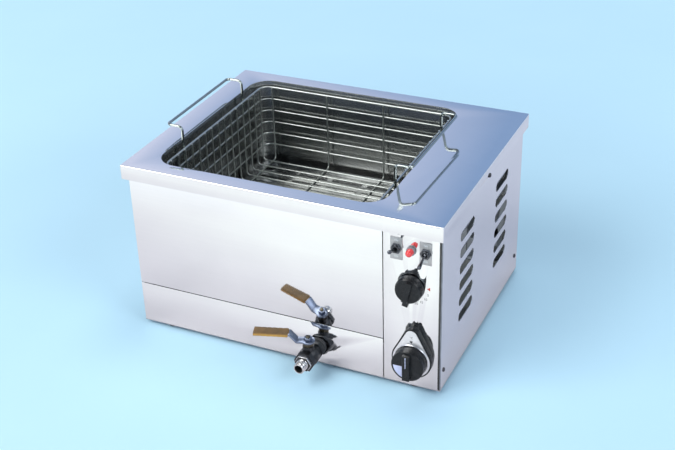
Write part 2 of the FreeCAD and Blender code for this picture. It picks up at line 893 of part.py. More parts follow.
def drain_boss():
    """The threaded boss welded under the tank's outlet."""
    base = Vector(drain_offset, drain_inlet_y, tank_floor - tank_sheet - boss_height)
    boss = rod(base, Z_DIR, boss_radius, boss_height)
    socket = rod(base, Z_DIR, pipe_radius + fit_clearance, boss_height - boss_sheet)
    return boss.cut([socket, rod(base, Z_DIR, pipe_bore, boss_height)])


def drain_pipe():
    """The elbow pipe from the tank's outlet, forward through the front panel to the valve."""
    top = Vector(drain_offset, drain_inlet_y, tank_floor - tank_sheet - boss_sheet)
    corner = Vector(drain_offset, drain_inlet_y, drain_z)
    end = Vector(drain_offset, valve_back_y - valve_socket, drain_z)
    outer = bent_wire([top, corner, end], pipe_radius, pipe_elbow)
    return outer.cut(bent_wire([top, corner, end], pipe_bore, pipe_elbow))


def panel_grommet():
    """The rubber grommet that seals the pipe in the front panel."""
    front = Vector(drain_offset, front_y - grommet_lip, drain_z)
    back = Vector(drain_offset, panel_back_y, drain_z)
    lips = [rod(front, Y_DIR, grommet_radius, grommet_lip), rod(back, Y_DIR, grommet_radius, grommet_lip)]
    neck = rod(front, Y_DIR, grommet_hole, 2 * grommet_lip + case_sheet)
    bore = rod(front, Y_DIR, pipe_radius + fit_clearance, 2 * grommet_lip + case_sheet)
    return joined(lips + [neck]).cut(bore)


def on_pipe(y, z=drain_z):
    """A point in the drain pipe's upright middle plane."""
    return Vector(drain_offset, y, z)


def valve_body():
    """The ball valve's body with its two hexagon ends, its bonnet and the ball's chamber."""
    end_y = front_y - valve_end
    pieces = [rod(on_pipe(end_y), Y_DIR, valve_body_radius, valve_end - valve_standoff)]
    pieces.append(Part.makeSphere(valve_bulge_radius, on_pipe(valve_y)))
    pieces.append(hexagon(on_pipe(end_y), Y_DIR, valve_hex_flats, valve_hex_length))
    pieces.append(hexagon(on_pipe(valve_back_y - valve_hex_length), Y_DIR, valve_hex_flats, valve_hex_length))
    pieces.append(rod(on_pipe(valve_y), Z_DIR, bonnet_radius, bonnet_height))
    chamber_y = valve_y - valve_cavity_half
    cuts = [rod(on_pipe(chamber_y), Y_DIR, valve_cavity_radius, 2 * valve_cavity_half)]
    cuts.append(rod(on_pipe(end_y), Y_DIR, valve_port_radius, valve_end))
    cuts.append(rod(on_pipe(valve_back_y - valve_socket), Y_DIR, pipe_radius + fit_clearance, valve_socket))
    front_socket = chamber_y - valve_wall - end_y
    cuts.append(rod(on_pipe(end_y), Y_DIR, spout_radius + fit_clearance, front_socket))
    cuts.append(rod(on_pipe(valve_y), Z_DIR, stem_radius + stem_clearance, bonnet_height))
    return joined(pieces).cut(cuts)


def valve_seats():
    """The two ring seats that bear on the ball."""
    rings = []
    ball_room = Part.makeSphere(ball_radius + seat_clearance, on_pipe(valve_y))
    thickness = valve_cavity_half - seat_inner
    for start in (valve_y - valve_cavity_half, valve_y + seat_inner):
        ring = rod(on_pipe(start), Y_DIR, valve_cavity_radius - fit_clearance, thickness)
        rings.append(ring.cut([rod(on_pipe(start), Y_DIR, valve_port_radius, thickness), ball_room]))
    return Part.makeCompound(rings)


def turned_to_rest(shape):
    """Turns a piece that was drawn with the valve shut to the lever's rest position."""
    shape.rotate(on_pipe(valve_y), Z_DIR, valve_open_at_rest)
    return shape


def valve_ball():
    """The bored ball with a flat top and the stem's slot."""
    ball = Part.makeSphere(ball_radius, on_pipe(valve_y))
    bore = rod(on_pipe(valve_y) - X_DIR * ball_radius, X_DIR, valve_port_radius, 2 * ball_radius)
    top_z = drain_z + ball_top
    room = box(drain_offset - ball_radius, drain_offset + ball_radius, valve_y - ball_radius,
               valve_y + ball_radius, top_z, top_z + ball_radius)
    half_slot = ball_slot / 2
    slot = box(drain_offset - ball_radius, drain_offset + ball_radius, valve_y - half_slot,
               valve_y + half_slot, top_z - ball_slot_depth, top_z)
    return turned_to_rest(ball.cut([bore, room, slot]))


def valve_stem():
    """The stem from the ball's slot up through the bonnet to the lever's nut."""
    top_z = drain_z + ball_top
    foot_z = top_z + wall_clearance
    shaft = rod(on_pipe(valve_y, foot_z), Z_DIR, stem_radius, lever_bottom - foot_z)
    thread = rod(on_pipe(valve_y, lever_bottom), Z_DIR, thread_radius,
                 lever_sheet + lever_nut_height + thread_end)
    half_tang = ball_slot / 2 - fit_clearance
    tang_half_length = stem_radius * 0.8
    tang = box(drain_offset - tang_half_length, drain_offset + tang_half_length, valve_y - half_tang,
               valve_y + half_tang, top_z - ball_slot_depth + wall_clearance, foot_z)
    return turned_to_rest(joined([shaft, thread, tang]))


def stem_gland_nut():
    """The hexagon nut that closes the bonnet round the stem."""
    start = on_pipe(valve_y, bonnet_top)
    nut = hexagon(start, Z_DIR, gland_nut_flats, gland_nut_height)
    return nut.cut(rod(start, Z_DIR, stem_radius + stem_clearance, gland_nut_height))


def lever_blade():
    """The lever before it is turned: a hub and a cranked blade that points to -X."""
    low = lever_bottom
    high = lever_bottom + lever_rise
    knee = lever_flat + lever_slope
    profile = [(0, low), (lever_flat, low), (knee, high), (lever_reach, high),
               (lever_reach, high + lever_sheet), (knee - lever_sheet / 2, high + lever_sheet),
               (lever_flat - lever_sheet / 2, low + lever_sheet), (0, low + lever_sheet), (0, low)]
    y0 = valve_y - lever_width / 2
    corners = [Vector(drain_offset - x, y0, z) for x, z in profile]
    blade = Part.Face(Part.makePolygon(corners)).extrude(Y_DIR * lever_width)
    hub = rod(on_pipe(valve_y, low), Z_DIR, lever_hub_radius, lever_sheet)
    hole = rod(on_pipe(valve_y, low), Z_DIR, thread_radius + fit_clearance, lever_sheet)
    return joined([blade, hub]).cut(hole)


def valve_lever():
    """The cranked steel lever."""
    return turned_to_rest(lever_blade())


def lever_sleeve():
    """The plastic sleeve pushed over the lever's grip."""
    z0 = lever_bottom + lever_rise - sleeve_wall
    z1 = lever_bottom + lever_rise + lever_sheet + sleeve_wall
    x0 = drain_offset - lever_reach - sleeve_wall
    half = lever_width / 2 + sleeve_wall
    sleeve = box(x0, x0 + sleeve_length, valve_y - half, valve_y + half, z0, z1)
    long_edges = [e for e in sleeve.Edges if abs(e.tangentAt(e.FirstParameter).x) > 0.5]
    sleeve = sleeve.makeFillet(sleeve_wall, long_edges)
    end_edges = [e for e in sleeve.Edges if e.BoundBox.XMax < x0 + 0.001]
    sleeve = sleeve.makeChamfer(sleeve_wall / 3, end_edges)
    return turned_to_rest(sleeve.cut(lever_blade()))


def lever_nut():
    """The nut that clamps the lever on the stem."""
    start = on_pipe(valve_y, lever_bottom + lever_sheet)
    nut = hexagon(start, Z_DIR, lever_nut_flats, lever_nut_height)
    return turned_to_rest(nut.cut(rod(start, Z_DIR, thread_radius + fit_clearance, lever_nut_height)))


def valve_spout():
    """The outlet nipple with its hexagon collar."""
    inner_y = valve_y - valve_cavity_half - valve_wall
    tip_y = front_y - spout_reach
    collar_y = front_y - valve_end - spout_hex_length
    tube = rod(on_pipe(tip_y), Y_DIR, spout_radius, inner_y - tip_y)
    collar = hexagon(on_pipe(collar_y), Y_DIR, spout_hex_flats, spout_hex_length)
    return joined([tube, collar]).cut(rod(on_pipe(tip_y), Y_DIR, valve_port_radius, spout_reach))


def switch_plates():
    """The two plates behind the toggle switches' nuts."""
    plates = []
    for x in switch_places():
        plate = box(x - switch_plate_width / 2, x + switch_plate_width / 2, front_y - switch_plate_sheet,
                    front_y, switch_z - switch_plate_height / 2, switch_z + switch_plate_height / 2)
        plates.append(plate.cut(panel_hole(x, switch_z, bush_radius + fit_clearance)))
    return Part.makeCompound(plates)


def switch_bodies():
    """The two toggle switches' bodies with their threaded bushes."""
    bodies = []
    for x in switch_places():
        block = box(x - switch_body_width / 2, x + switch_body_width / 2, panel_back_y,
                    panel_back_y + switch_body_depth, switch_z - switch_body_height / 2,
                    switch_z + switch_body_height / 2)
        front = Vector(x, front_y - bush_length, switch_z)
        bush = rod(front, Y_DIR, bush_radius, bush_length + case_sheet)
        bore = rod(front, Y_DIR, bush_bore, bush_length + case_sheet + bush_bore)
        pivot = Vector(x - toggle_pin_reach, front_y - switch_pivot, switch_z)
        pin_hole = rod(pivot, X_DIR, toggle_pin_radius + toggle_pin_clearance, 2 * toggle_pin_reach)
        bodies.append(joined([block, bush]).cut([bore, pin_hole]))
    return Part.makeCompound(bodies)


def switch_nuts():
    """The hexagon nuts that clamp the switches to the panel."""
    nuts = []
    for x in switch_places():
        start = Vector(x, front_y - switch_plate_sheet, switch_z)
        nut = hexagon(start, Y_DIR * -1, switch_nut_flats, switch_nut_height)
        nuts.append(nut.cut(rod(start, Y_DIR * -1, bush_radius + fit_clearance, switch_nut_height)))
    return Part.makeCompound(nuts)


def toggle(x, tilt):
    """A toggle lever on its pivot pins, with its tip raised by an angle."""
    pivot = Vector(x, front_y - switch_pivot, switch_z)
    hub = rod(pivot - X_DIR * (toggle_hub_length / 2), X_DIR, toggle_hub_radius, toggle_hub_length)
    pin_reach = toggle_pin_reach - wall_clearance
    pins = rod(pivot - X_DIR * pin_reach, X_DIR, toggle_pin_radius, 2 * pin_reach)
    neck = toggle_length - toggle_tip_radius
    bat = Part.makeCone(toggle_root_radius, toggle_tip_radius, neck, pivot, Y_DIR * -1)
    tip = Part.makeSphere(toggle_tip_radius, pivot - Y_DIR * neck)
    lever = joined([hub, pins, bat, tip])
    lever.rotate(pivot, X_DIR, -tilt)
    return lever


def left_toggle():
    """The left switch's lever, thrown up."""
    return toggle(switch_places()[0], toggle_throw)


def right_toggle():
    """The right switch's lever, thrown down."""
    return toggle(switch_places()[1], -toggle_throw)


def lamp_bezel():
    """The pilot lamp's bezel and the body behind the panel."""
    front = Vector(control_middle, front_y - lamp_bezel_height, switch_z)
    ring = rod(front, Y_DIR, lamp_bezel_radius, lamp_bezel_height)
    body = rod(front, Y_DIR, lamp_body_radius, lamp_bezel_height + case_sheet + lamp_body_depth)
    nut = hexagon(Vector(control_middle, panel_back_y, switch_z), Y_DIR, 2 * lamp_bezel_radius,
                  lamp_bezel_height)
    return joined([ring, body, nut])


def lamp_lens():
    """The pilot lamp's domed lens."""
    start = Vector(control_middle, front_y - lamp_bezel_height, switch_z)
    lens = rod(start, Y_DIR * -1, lamp_radius, lamp_length - lamp_bezel_height)
    tip_y = front_y - lamp_length
    edge = [e for e in lens.Edges if abs(e.BoundBox.YMax - tip_y) < 0.001]
    return lens.makeFillet(lamp_radius * 0.7, edge)


def spindle_case(x, z, side, depth):
    """A control's case behind the panel, with the bush that its spindle runs in."""
    block = box(x - side / 2, x + side / 2, panel_back_y, panel_back_y + depth, z - side / 2, z + side / 2)
    front = Vector(x, front_y - bush_proud, z)
    bush = rod(front, Y_DIR, spindle_bush_radius, bush_proud + case_sheet)
    bore = rod(front, Y_DIR, shaft_radius + shaft_clearance, bush_proud + case_sheet + shaft_hold)
    return joined([block, bush]).cut(bore)


def spindle(x, z, reach):
    """A control's spindle from inside its case to a distance in front of the panel."""
    back = panel_back_y + shaft_hold - wall_clearance
    return rod(Vector(x, back, z), Y_DIR * -1, shaft_radius, back - front_y + reach)


def timer_case():
    """The clockwork timer's case."""
    return spindle_case(control_middle, timer_z, timer_case_side, timer_case_depth)


def timer_shaft():
    """The timer's spindle."""
    return spindle(control_middle, timer_z, timer_knob_height - knob_face)


def timer_knob():
    """The round timer knob with its pointer nose and its grip bar."""
    base = Vector(control_middle, front_y - bush_proud - knob_gap, timer_z)
    body_height = timer_knob_height - bush_proud - knob_gap
    disc = Part.makeCone(timer_knob_radius, timer_knob_radius - timer_taper, body_height, base, Y_DIR * -1)
    half = timer_nose_width / 2
    nose = box(-half, half, base.y - timer_nose_thickness, base.y, 0, timer_nose)
    nose.translate(Vector(control_middle, 0, timer_z))
    nose.rotate(base, Y_DIR, timer_turn)
    half_grip = timer_grip_width / 2
    long_half = timer_knob_radius - 2 * timer_taper
    grip = box(-half_grip, half_grip, base.y - body_height - timer_grip_height, base.y - body_height,
               -long_half, long_half)
    grip.translate(Vector(control_middle, 0, timer_z))
    grip.rotate(base, Y_DIR, timer_turn)
    knob = joined([disc, nose, grip])
    return knob.cut(rod(Vector(control_middle, front_y, timer_z), Y_DIR * -1, shaft_radius + fit_clearance,
                        timer_knob_height - knob_face))


def teardrop(inset, start_y, thickness):
    """A plate shaped as a circle drawn out to a narrow round top, set in from the bezel's edge."""
    big = bezel_radius - inset
    small = bezel_top_width / 2 - inset
    rise = bezel_top - bezel_top_width / 2
    lean = math.asin((big - small) / rise)
    centre = Vector(thermostat_x, start_y, thermostat_z)
    upper = centre + Z_DIR * rise
    lower_disc = rod(centre, Y_DIR, big, thickness)
    upper_disc = rod(upper, Y_DIR, small, thickness)
    corners = []
    for point, radius, side in ((centre, big, 1), (upper, small, 1), (upper, small, -1), (centre, big, -1)):
        corners.append(point + Vector(side * radius * math.cos(lean), 0, radius * math.sin(lean)))
    corners.append(corners[0])
    web = Part.Face(Part.makePolygon(corners)).extrude(Y_DIR * thickness)
    return joined([lower_disc, web, upper_disc])


def thermostat_bezel():
    """The moulded bezel: a hollow drawn-out dish, open towards the panel."""
    outside = teardrop(0, front_y - bezel_thickness, bezel_thickness)
    room = teardrop(bezel_wall, front_y - bezel_thickness + bezel_wall, bezel_thickness)
    hub = rod(Vector(thermostat_x, front_y - bezel_thickness, thermostat_z), Y_DIR, bezel_hub_radius,
              bezel_thickness)
    hole = rod(Vector(thermostat_x, front_y - bezel_thickness, thermostat_z), Y_DIR,
               spindle_bush_radius + wall_clearance, bezel_thickness)
    return joined([outside.cut(room), hub]).cut(hole)


def thermostat_faceplate():
    """The printed plate on the bezel's front."""
    start_y = front_y - bezel_thickness - faceplate_sheet
    plate = teardrop(faceplate_inset, start_y, faceplate_sheet)
    return plate.cut(rod(Vector(thermostat_x, start_y, thermostat_z), Y_DIR,
                         spindle_bush_radius + wall_clearance, faceplate_sheet))


def thermostat_ring():
    """The bright ring round the knob."""
    start = Vector(thermostat_x, dial_face_y - dial_ring_height, thermostat_z)
    outer_radius = dial_knob_radius + dial_gap + dial_ring_width
    ring = rod(start, Y_DIR, outer_radius, dial_ring_height)
    return ring.cut(rod(start, Y_DIR, dial_knob_radius + dial_gap, dial_ring_height))


def thermostat_case():
    """The thermostat's case."""
    return spindle_case(thermostat_x, thermostat_z, thermostat_case_side, thermostat_case_depth)


def thermostat_shaft():
    """The thermostat's spindle."""
    return spindle(thermostat_x, thermostat_z, front_y - dial_face_y + dial_knob_height - knob_face)


def thermostat_knob():
    """The large round knob with a grip bar across its face."""
    base = Vector(thermostat_x, dial_face_y - knob_gap, thermostat_z)
    skirt = rod(base, Y_DIR * -1, dial_knob_radius, dial_knob_height - knob_gap)
    tip_y = dial_face_y - dial_knob_height
    edge = [e for e in skirt.Edges if abs(e.BoundBox.YMax - tip_y) < 0.001]
    skirt = skirt.makeFillet(dial_round, edge)
    half = grip_width / 2
    long_half = dial_knob_radius - 2 * dial_round
    grip = box(thermostat_x - half, thermostat_x + half, tip_y - grip_height, tip_y,
               thermostat_z - long_half, thermostat_z + long_half)
    grip_edges = [e for e in grip.Edges if e.BoundBox.YMax < tip_y - grip_height + 0.001]
    grip = grip.makeFillet(dial_round, grip_edges)
    bore = rod(base, Y_DIR * -1, shaft_radius + fit_clearance, dial_knob_height - knob_face)
    return joined([skirt, grip]).cut([bore, inlay_block(wall_clearance)])


def inlay_block(extra):
    """The quarter-round block of the knob's inlay, at its lower left, grown by a clearance."""
    tip_y = dial_face_y - dial_knob_height
    outer = inlay_radius + extra
    gap = grip_width / 2 + inlay_gap - extra
    disc = rod(Vector(thermostat_x, tip_y, thermostat_z), Y_DIR, outer, inlay_depth)
    corner = box(thermostat_x - dial_knob_radius, thermostat_x - gap, tip_y - 1, tip_y + inlay_depth + 1,
                 thermostat_z - dial_knob_radius, thermostat_z - inlay_gap + extra)
    return disc.common(corner)


def knob_inlay():
    """The pale inlay in the knob's face."""
    return inlay_block(0)


def contactor():
    """The contactor that switches the heaters, on the base pan."""
    x0 = control_left + electrics_gap
    y0 = case_middle_y + contactor_offset
    lower = box(x0, x0 + contactor_width, y0, y0 + contactor_depth, panel_bottom,
                panel_bottom + contactor_step)
    upper = box(x0, x0 + contactor_width, y0 + contactor_notch, y0 + contactor_depth - contactor_notch,
                panel_bottom, panel_bottom + contactor_height)
    return joined([lower, upper])


def terminal_block():
    """The mains terminal block by the cable gland."""
    x0 = control_left + electrics_gap
    y1 = back_y - electrics_gap
    block = box(x0, x0 + terminal_width, y1 - terminal_depth, y1, panel_bottom,
                panel_bottom + terminal_height)
    wells = []
    for i in range(terminal_count):
        x = x0 + terminal_width * (i + 0.5) / terminal_count
        wells.append(rod(Vector(x, y1 - terminal_depth / 2, panel_bottom + terminal_height / 2), Z_DIR,
                         terminal_well, terminal_height))
    return block.cut(wells)


def cable_gland():
    """The cable gland through the back panel."""
    inner_y = back_y - case_sheet - gland_inner_length
    start = Vector(gland_x, inner_y, gland_z)
    stem = rod(start, Y_DIR, gland_radius, gland_inner_length + case_sheet + gland_reach)
    flange = rod(Vector(gland_x, back_y, gland_z), Y_DIR, gland_flange_radius, gland_flange_height)
    nut_y = back_y - case_sheet - gland_flange_height
    nut = hexagon(Vector(gland_x, nut_y, gland_z), Y_DIR, 2 * gland_flange_radius, gland_flange_height)
    tip = [e for e in stem.Edges if abs(e.BoundBox.YMin - back_y - gland_reach) < 0.001]
    stem = stem.makeFillet(gland_radius / 3, tip)
    bore = rod(start, Y_DIR, gland_bore, gland_inner_length + case_sheet + gland_reach)
    return joined([stem, flange, nut]).cut(bore)


NODES = [
    top_cover, tank, tank_insulation, front_upper_panel, front_lower_panel, control_panel,
    left_side_panel, right_side_panel, back_panel, base_pan, corner_posts, partition_wall, panel_rail,
    feet, foot_screws, cover_screws, cover_spacers, side_screws, heater_elements, heater_glands,
    guard_plate, thermostat_sensor, sensor_gland, basket_rim, basket_hoops, basket_cross_wires,
    basket_long_wires, basket_handles, drain_boss, drain_pipe, panel_grommet, valve_body, valve_seats,
    valve_ball, valve_stem, stem_gland_nut, valve_lever, lever_sleeve, lever_nut, valve_spout,
    switch_plates, switch_bodies, switch_nuts, left_toggle, right_toggle, lamp_bezel, lamp_lens,
    timer_case, timer_shaft, timer_knob, thermostat_bezel, thermostat_faceplate, thermostat_ring,
    thermostat_case, thermostat_shaft, thermostat_knob, knob_inlay, contactor, terminal_block, cable_gland,
]

os.makedirs("parts", exist_ok=True)
for make in NODES:
    make().exportStep("parts/" + make.__name__ + ".step")
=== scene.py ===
"""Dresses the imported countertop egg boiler: finishes, basket wires, fittings, studio and camera."""
import json
import logging
import math
from dataclasses import dataclass, field
from enum import Enum
from typing import Callable, Optional, Sequence

import bmesh
import bpy
from mathutils import Matrix, Vector

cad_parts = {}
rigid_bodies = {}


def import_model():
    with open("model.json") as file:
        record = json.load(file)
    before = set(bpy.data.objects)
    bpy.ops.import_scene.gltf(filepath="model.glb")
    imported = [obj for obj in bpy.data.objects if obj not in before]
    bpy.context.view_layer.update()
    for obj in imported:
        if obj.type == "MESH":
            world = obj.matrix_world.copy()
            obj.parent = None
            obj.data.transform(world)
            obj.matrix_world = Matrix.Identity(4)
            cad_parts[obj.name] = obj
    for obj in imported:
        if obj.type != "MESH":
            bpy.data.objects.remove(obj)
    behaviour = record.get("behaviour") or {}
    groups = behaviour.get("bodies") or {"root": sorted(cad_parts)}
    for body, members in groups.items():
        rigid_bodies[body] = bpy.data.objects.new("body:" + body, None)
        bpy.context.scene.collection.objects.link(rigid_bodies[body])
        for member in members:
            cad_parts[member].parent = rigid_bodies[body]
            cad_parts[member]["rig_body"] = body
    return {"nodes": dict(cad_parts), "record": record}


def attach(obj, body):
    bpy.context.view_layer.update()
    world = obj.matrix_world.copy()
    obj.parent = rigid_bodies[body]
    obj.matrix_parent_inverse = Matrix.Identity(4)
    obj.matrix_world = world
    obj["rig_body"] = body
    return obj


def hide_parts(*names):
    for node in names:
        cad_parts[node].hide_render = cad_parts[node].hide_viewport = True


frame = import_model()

log = logging.getLogger("egg_boiler")

Colour = tuple[float, float, float]
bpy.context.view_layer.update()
MM = 0.001
MERGE_DISTANCE = 1e-6
SAME_PLACE = 1e-5
FLAT_ANGLE = 0.6
SOFT_ANGLE = 40.0
FONT_SCALE = 1.4
INK_THICKNESS = 0.12
UPRIGHT_TO_Y = (math.radians(90), 0.0, 0.0)


class Grain(Enum):
    """Which way a metal's polishing marks run, as noise scales along X, Y and Z."""

    ALONG_X = (5.0, 420.0, 420.0)
    ALONG_Z = (420.0, 420.0, 5.0)
    TURNED = (600.0, 90.0, 600.0)
    CAST = (520.0, 520.0, 520.0)


def linked(name: str, data: bpy.types.ID) -> bpy.types.Object:
    """Makes an object of some data and puts it in the scene."""
    obj = bpy.data.objects.new(name, data)
    bpy.context.scene.collection.objects.link(obj)
    return obj


def shifted(place: Vector) -> Matrix:
    """The shift to a place that is given in millimetres."""
    return Matrix.Translation(place * MM)


def rotated(degrees: float, axis: str) -> Matrix:
    """The turn by an angle about an axis."""
    return Matrix.Rotation(math.radians(degrees), 4, axis)


# Shared node plumbing


class Graph:
    """A node tree that is being wired: of a material, a shader group or a geometry tool."""

    def __init__(self, tree: bpy.types.NodeTree) -> None:
        """Keeps the tree.

        Args:
            tree: The tree that nodes are added to.
        """
        self.tree = tree

    def add(self, kind: str, inputs: Optional[dict] = None, **settings: object) -> bpy.types.Node:
        """Adds one node.

        Args:
            kind: The node's type name.
            inputs: Its sockets, by name or number, each with a value or with another node's output.
            settings: Its own properties.

        Returns:
            The new node.
        """
        node = self.tree.nodes.new(kind)
        for key, value in settings.items():
            setattr(node, key, value)
        for key, value in (inputs or {}).items():
            self.feed(node.inputs[key], value)
        return node

    def feed(self, socket: bpy.types.NodeSocket, value: object) -> None:
        """Links an output to a socket, or sets the socket's own value."""
        if isinstance(value, bpy.types.NodeSocket):
            self.tree.links.new(value, socket)
        else:
            socket.default_value = value

    def maths(self, operation: str, a: object, b: object, clamp: bool = False) -> bpy.types.NodeSocket:
        """One arithmetic step.

        Args:
            operation: Blender's name for it.
            a: The first value or output.
            b: The second value or output.
            clamp: Whether the result is kept between 0 and 1.

        Returns:
            The result's socket.
        """
        return self.add("ShaderNodeMath", {0: a, 1: b}, operation=operation, use_clamp=clamp).outputs[0]

    def blend(self, amount: object, dark: Sequence[float], light: Sequence[float]) -> bpy.types.NodeSocket:
        """A colour between two others.

        Args:
            amount: 0 for the first colour and 1 for the second.
            dark: The first colour.
            light: The second colour.

        Returns:
            The colour's socket.
        """
        mix = self.add("ShaderNodeMix", data_type="RGBA")
        self.feed(mix.inputs["Factor"], amount)
        for name, value in (("A", dark), ("B", light)):
            socket = [s for s in mix.inputs if s.name == name and s.type == "RGBA"][0]
            self.feed(socket, value if isinstance(value, bpy.types.NodeSocket) else (*value, 1.0))
        return [s for s in mix.outputs if s.type == "RGBA"][0]

    def spread(self, value: object, low: float, high: float, start: float = 0.0,
               end: float = 1.0) -> bpy.types.NodeSocket:
        """Maps a value from one range to another.

        Args:
            value: The value's socket.
            low: What the range's start becomes.
            high: What the range's end becomes.
            start: The range's start.
            end: The range's end.

        Returns:
            The mapped value's socket.
        """
        return self.add("ShaderNodeMapRange", {"Value": value, "From Min": start, "From Max": end,
                                               "To Min": low, "To Max": high}).outputs[0]


class EffectLibrary:
    """The shader groups that several finishes share, each built once."""

    def __init__(self) -> None:
        """Builds the groups."""
        self.marks = self._noise_group("fine marks", detail=3.0, roughness=0.6)
        self.clouds = self._noise_group("clouds", detail=4.0, roughness=0.55)
        self.specks = self._speck_group()

    @staticmethod
    def _open(name: str, inputs: Sequence[tuple[str, str]], outputs: Sequence[str]) -> tuple:
        """Starts a shader group.

        Args:
            name: The group's name.
            inputs: Each input's name and socket type.
            outputs: Each output's name.

        Returns:
            The group, its graph, its input node and its output node.
        """
        tree = bpy.data.node_groups.new(name, "ShaderNodeTree")
        for label, kind in inputs:
            tree.interface.new_socket(label, in_out="INPUT", socket_type=kind)
        for label in outputs:
            tree.interface.new_socket(label, in_out="OUTPUT", socket_type="NodeSocketFloat")
        graph = Graph(tree)
        return tree, graph, graph.add("NodeGroupInput"), graph.add("NodeGroupOutput")

    def _noise_group(self, name: str, detail: float, roughness: float) -> bpy.types.NodeTree:
        """A stretched noise with its contrast as an input.

        Args:
            name: The group's name.
            detail: The noise's octaves.
            roughness: How strong the finer octaves are.

        Returns:
            The group.
        """
        tree, graph, start, end = self._open(
            name, (("Vector", "NodeSocketVector"), ("Stretch", "NodeSocketVector"),
                   ("Contrast", "NodeSocketFloat")), ("Value",))
        stretched = graph.add("ShaderNodeVectorMath", {0: start.outputs[0], 1: start.outputs[1]},
                              operation="MULTIPLY")
        noise = graph.add("ShaderNodeTexNoise", {"Vector": stretched.outputs[0], "Scale": 1.0,
                                                 "Detail": detail, "Roughness": roughness})
        centred = graph.maths("SUBTRACT", noise.outputs[0], 0.5)
        scaled = graph.maths("MULTIPLY", centred, start.outputs[2])
        graph.feed(end.inputs[0], graph.maths("ADD", scaled, 0.5, clamp=True))
        return tree

    def _speck_group(self) -> bpy.types.NodeTree:
        """Small scattered specks, for dust, pits and cast texture."""
        tree, graph, start, end = self._open(
            "specks", (("Vector", "NodeSocketVector"), ("Density", "NodeSocketFloat"),
                       ("Size", "NodeSocketFloat")), ("Value",))
        cells = graph.add("ShaderNodeTexVoronoi", {"Vector": start.outputs[0], "Scale": start.outputs[1]})
        near = graph.maths("DIVIDE", cells.outputs["Distance"], start.outputs[2])
        graph.feed(end.inputs[0], graph.maths("SUBTRACT", 1.0, near, clamp=True))
        return tree

    @staticmethod
    def use(graph: Graph, group: bpy.types.NodeTree, **inputs: object) -> bpy.types.NodeSocket:
        """Places a group in a material.

        Args:
            graph: The material's graph.
            group: The shader group.
            inputs: Its inputs by name.

        Returns:
            The group's output.
        """
        node = graph.add("ShaderNodeGroup", node_tree=group)
        for name, value in inputs.items():
            graph.feed(node.inputs[name], value)
        return node.outputs[0]


EFFECTS = EffectLibrary()


# Finishes


@dataclass(frozen=True)
class Finish:
    """What every finish has: the record's slot, two shades and a spread of roughness."""

    slot: str
    light: Colour
    dark: Colour
    smooth: float
    rough: float

    def _start(self) -> tuple[bpy.types.Material, Graph, bpy.types.Node, bpy.types.NodeSocket]:
        """Makes the material, its shader and the Object coordinates."""
        material = bpy.data.materials.new(self.slot)
        material.use_nodes = True
        graph = Graph(material.node_tree)
        shader = material.node_tree.nodes["Principled BSDF"]
        place = graph.add("ShaderNodeTexCoord").outputs["Object"]
        return material, graph, shader, place

    @staticmethod
    def _relief(graph: Graph, shader: bpy.types.Node, height: object, strength: float, depth: float) -> None:
        """Bumps the surface by a height.

        Args:
            graph: The material's graph.
            shader: The shader that takes the normal.
            height: The height's socket.
            strength: How strongly it shows.
            depth: The relief's depth in metres.
        """
        bump = graph.add("ShaderNodeBump", {"Height": height, "Strength": strength, "Distance": depth})
        graph.feed(shader.inputs["Normal"], bump.outputs[0])

    def material(self) -> bpy.types.Material:
        """Builds the material."""
        raise NotImplementedError


@dataclass(frozen=True)
class MetalFinish(Finish):
    """Rolled, drawn, cast or turned metal: polishing marks, cloudy wear, fine pits and, where asked, a painted
    glow.
    """

    grain: Grain = Grain.ALONG_X
    mark_strength: float = 0.06
    cloud_size: float = 7.0
    pit_depth: float = 0.0
    contrast: float = 1.6
    painted_glow: float = 0.0

    def material(self) -> bpy.types.Material:
        """Builds the material."""
        material, graph, shader, place = self._start()
        marks = EFFECTS.use(graph, EFFECTS.marks, Vector=place, Stretch=self.grain.value,
                            Contrast=self.contrast)
        clouds = EFFECTS.use(graph, EFFECTS.clouds, Vector=place, Stretch=(self.cloud_size,) * 3,
                             Contrast=2.2)
        wear = graph.maths("ADD", graph.maths("MULTIPLY", marks, 0.35), graph.maths("MULTIPLY", clouds, 0.65))
        graph.feed(shader.inputs["Base Color"], graph.blend(wear, self.dark, self.light))
        graph.feed(shader.inputs["Roughness"], graph.spread(wear, self.rough, self.smooth))
        shader.inputs["Metallic"].default_value = 1.0
        # painted glow: the metal gives off light in its own colours
        if self.painted_glow:
            graph.feed(shader.inputs["Emission Color"], graph.blend(wear, self.dark, self.light))
            shader.inputs["Emission Strength"].default_value = self.painted_glow
        height: object = marks
        if self.pit_depth:
            pits = EFFECTS.use(graph, EFFECTS.specks, Vector=place, Density=900.0, Size=0.45)
            height = graph.maths("SUBTRACT", marks, graph.maths("MULTIPLY", pits, self.pit_depth))
        self._relief(graph, shader, height, self.mark_strength, 0.0002)
        return material


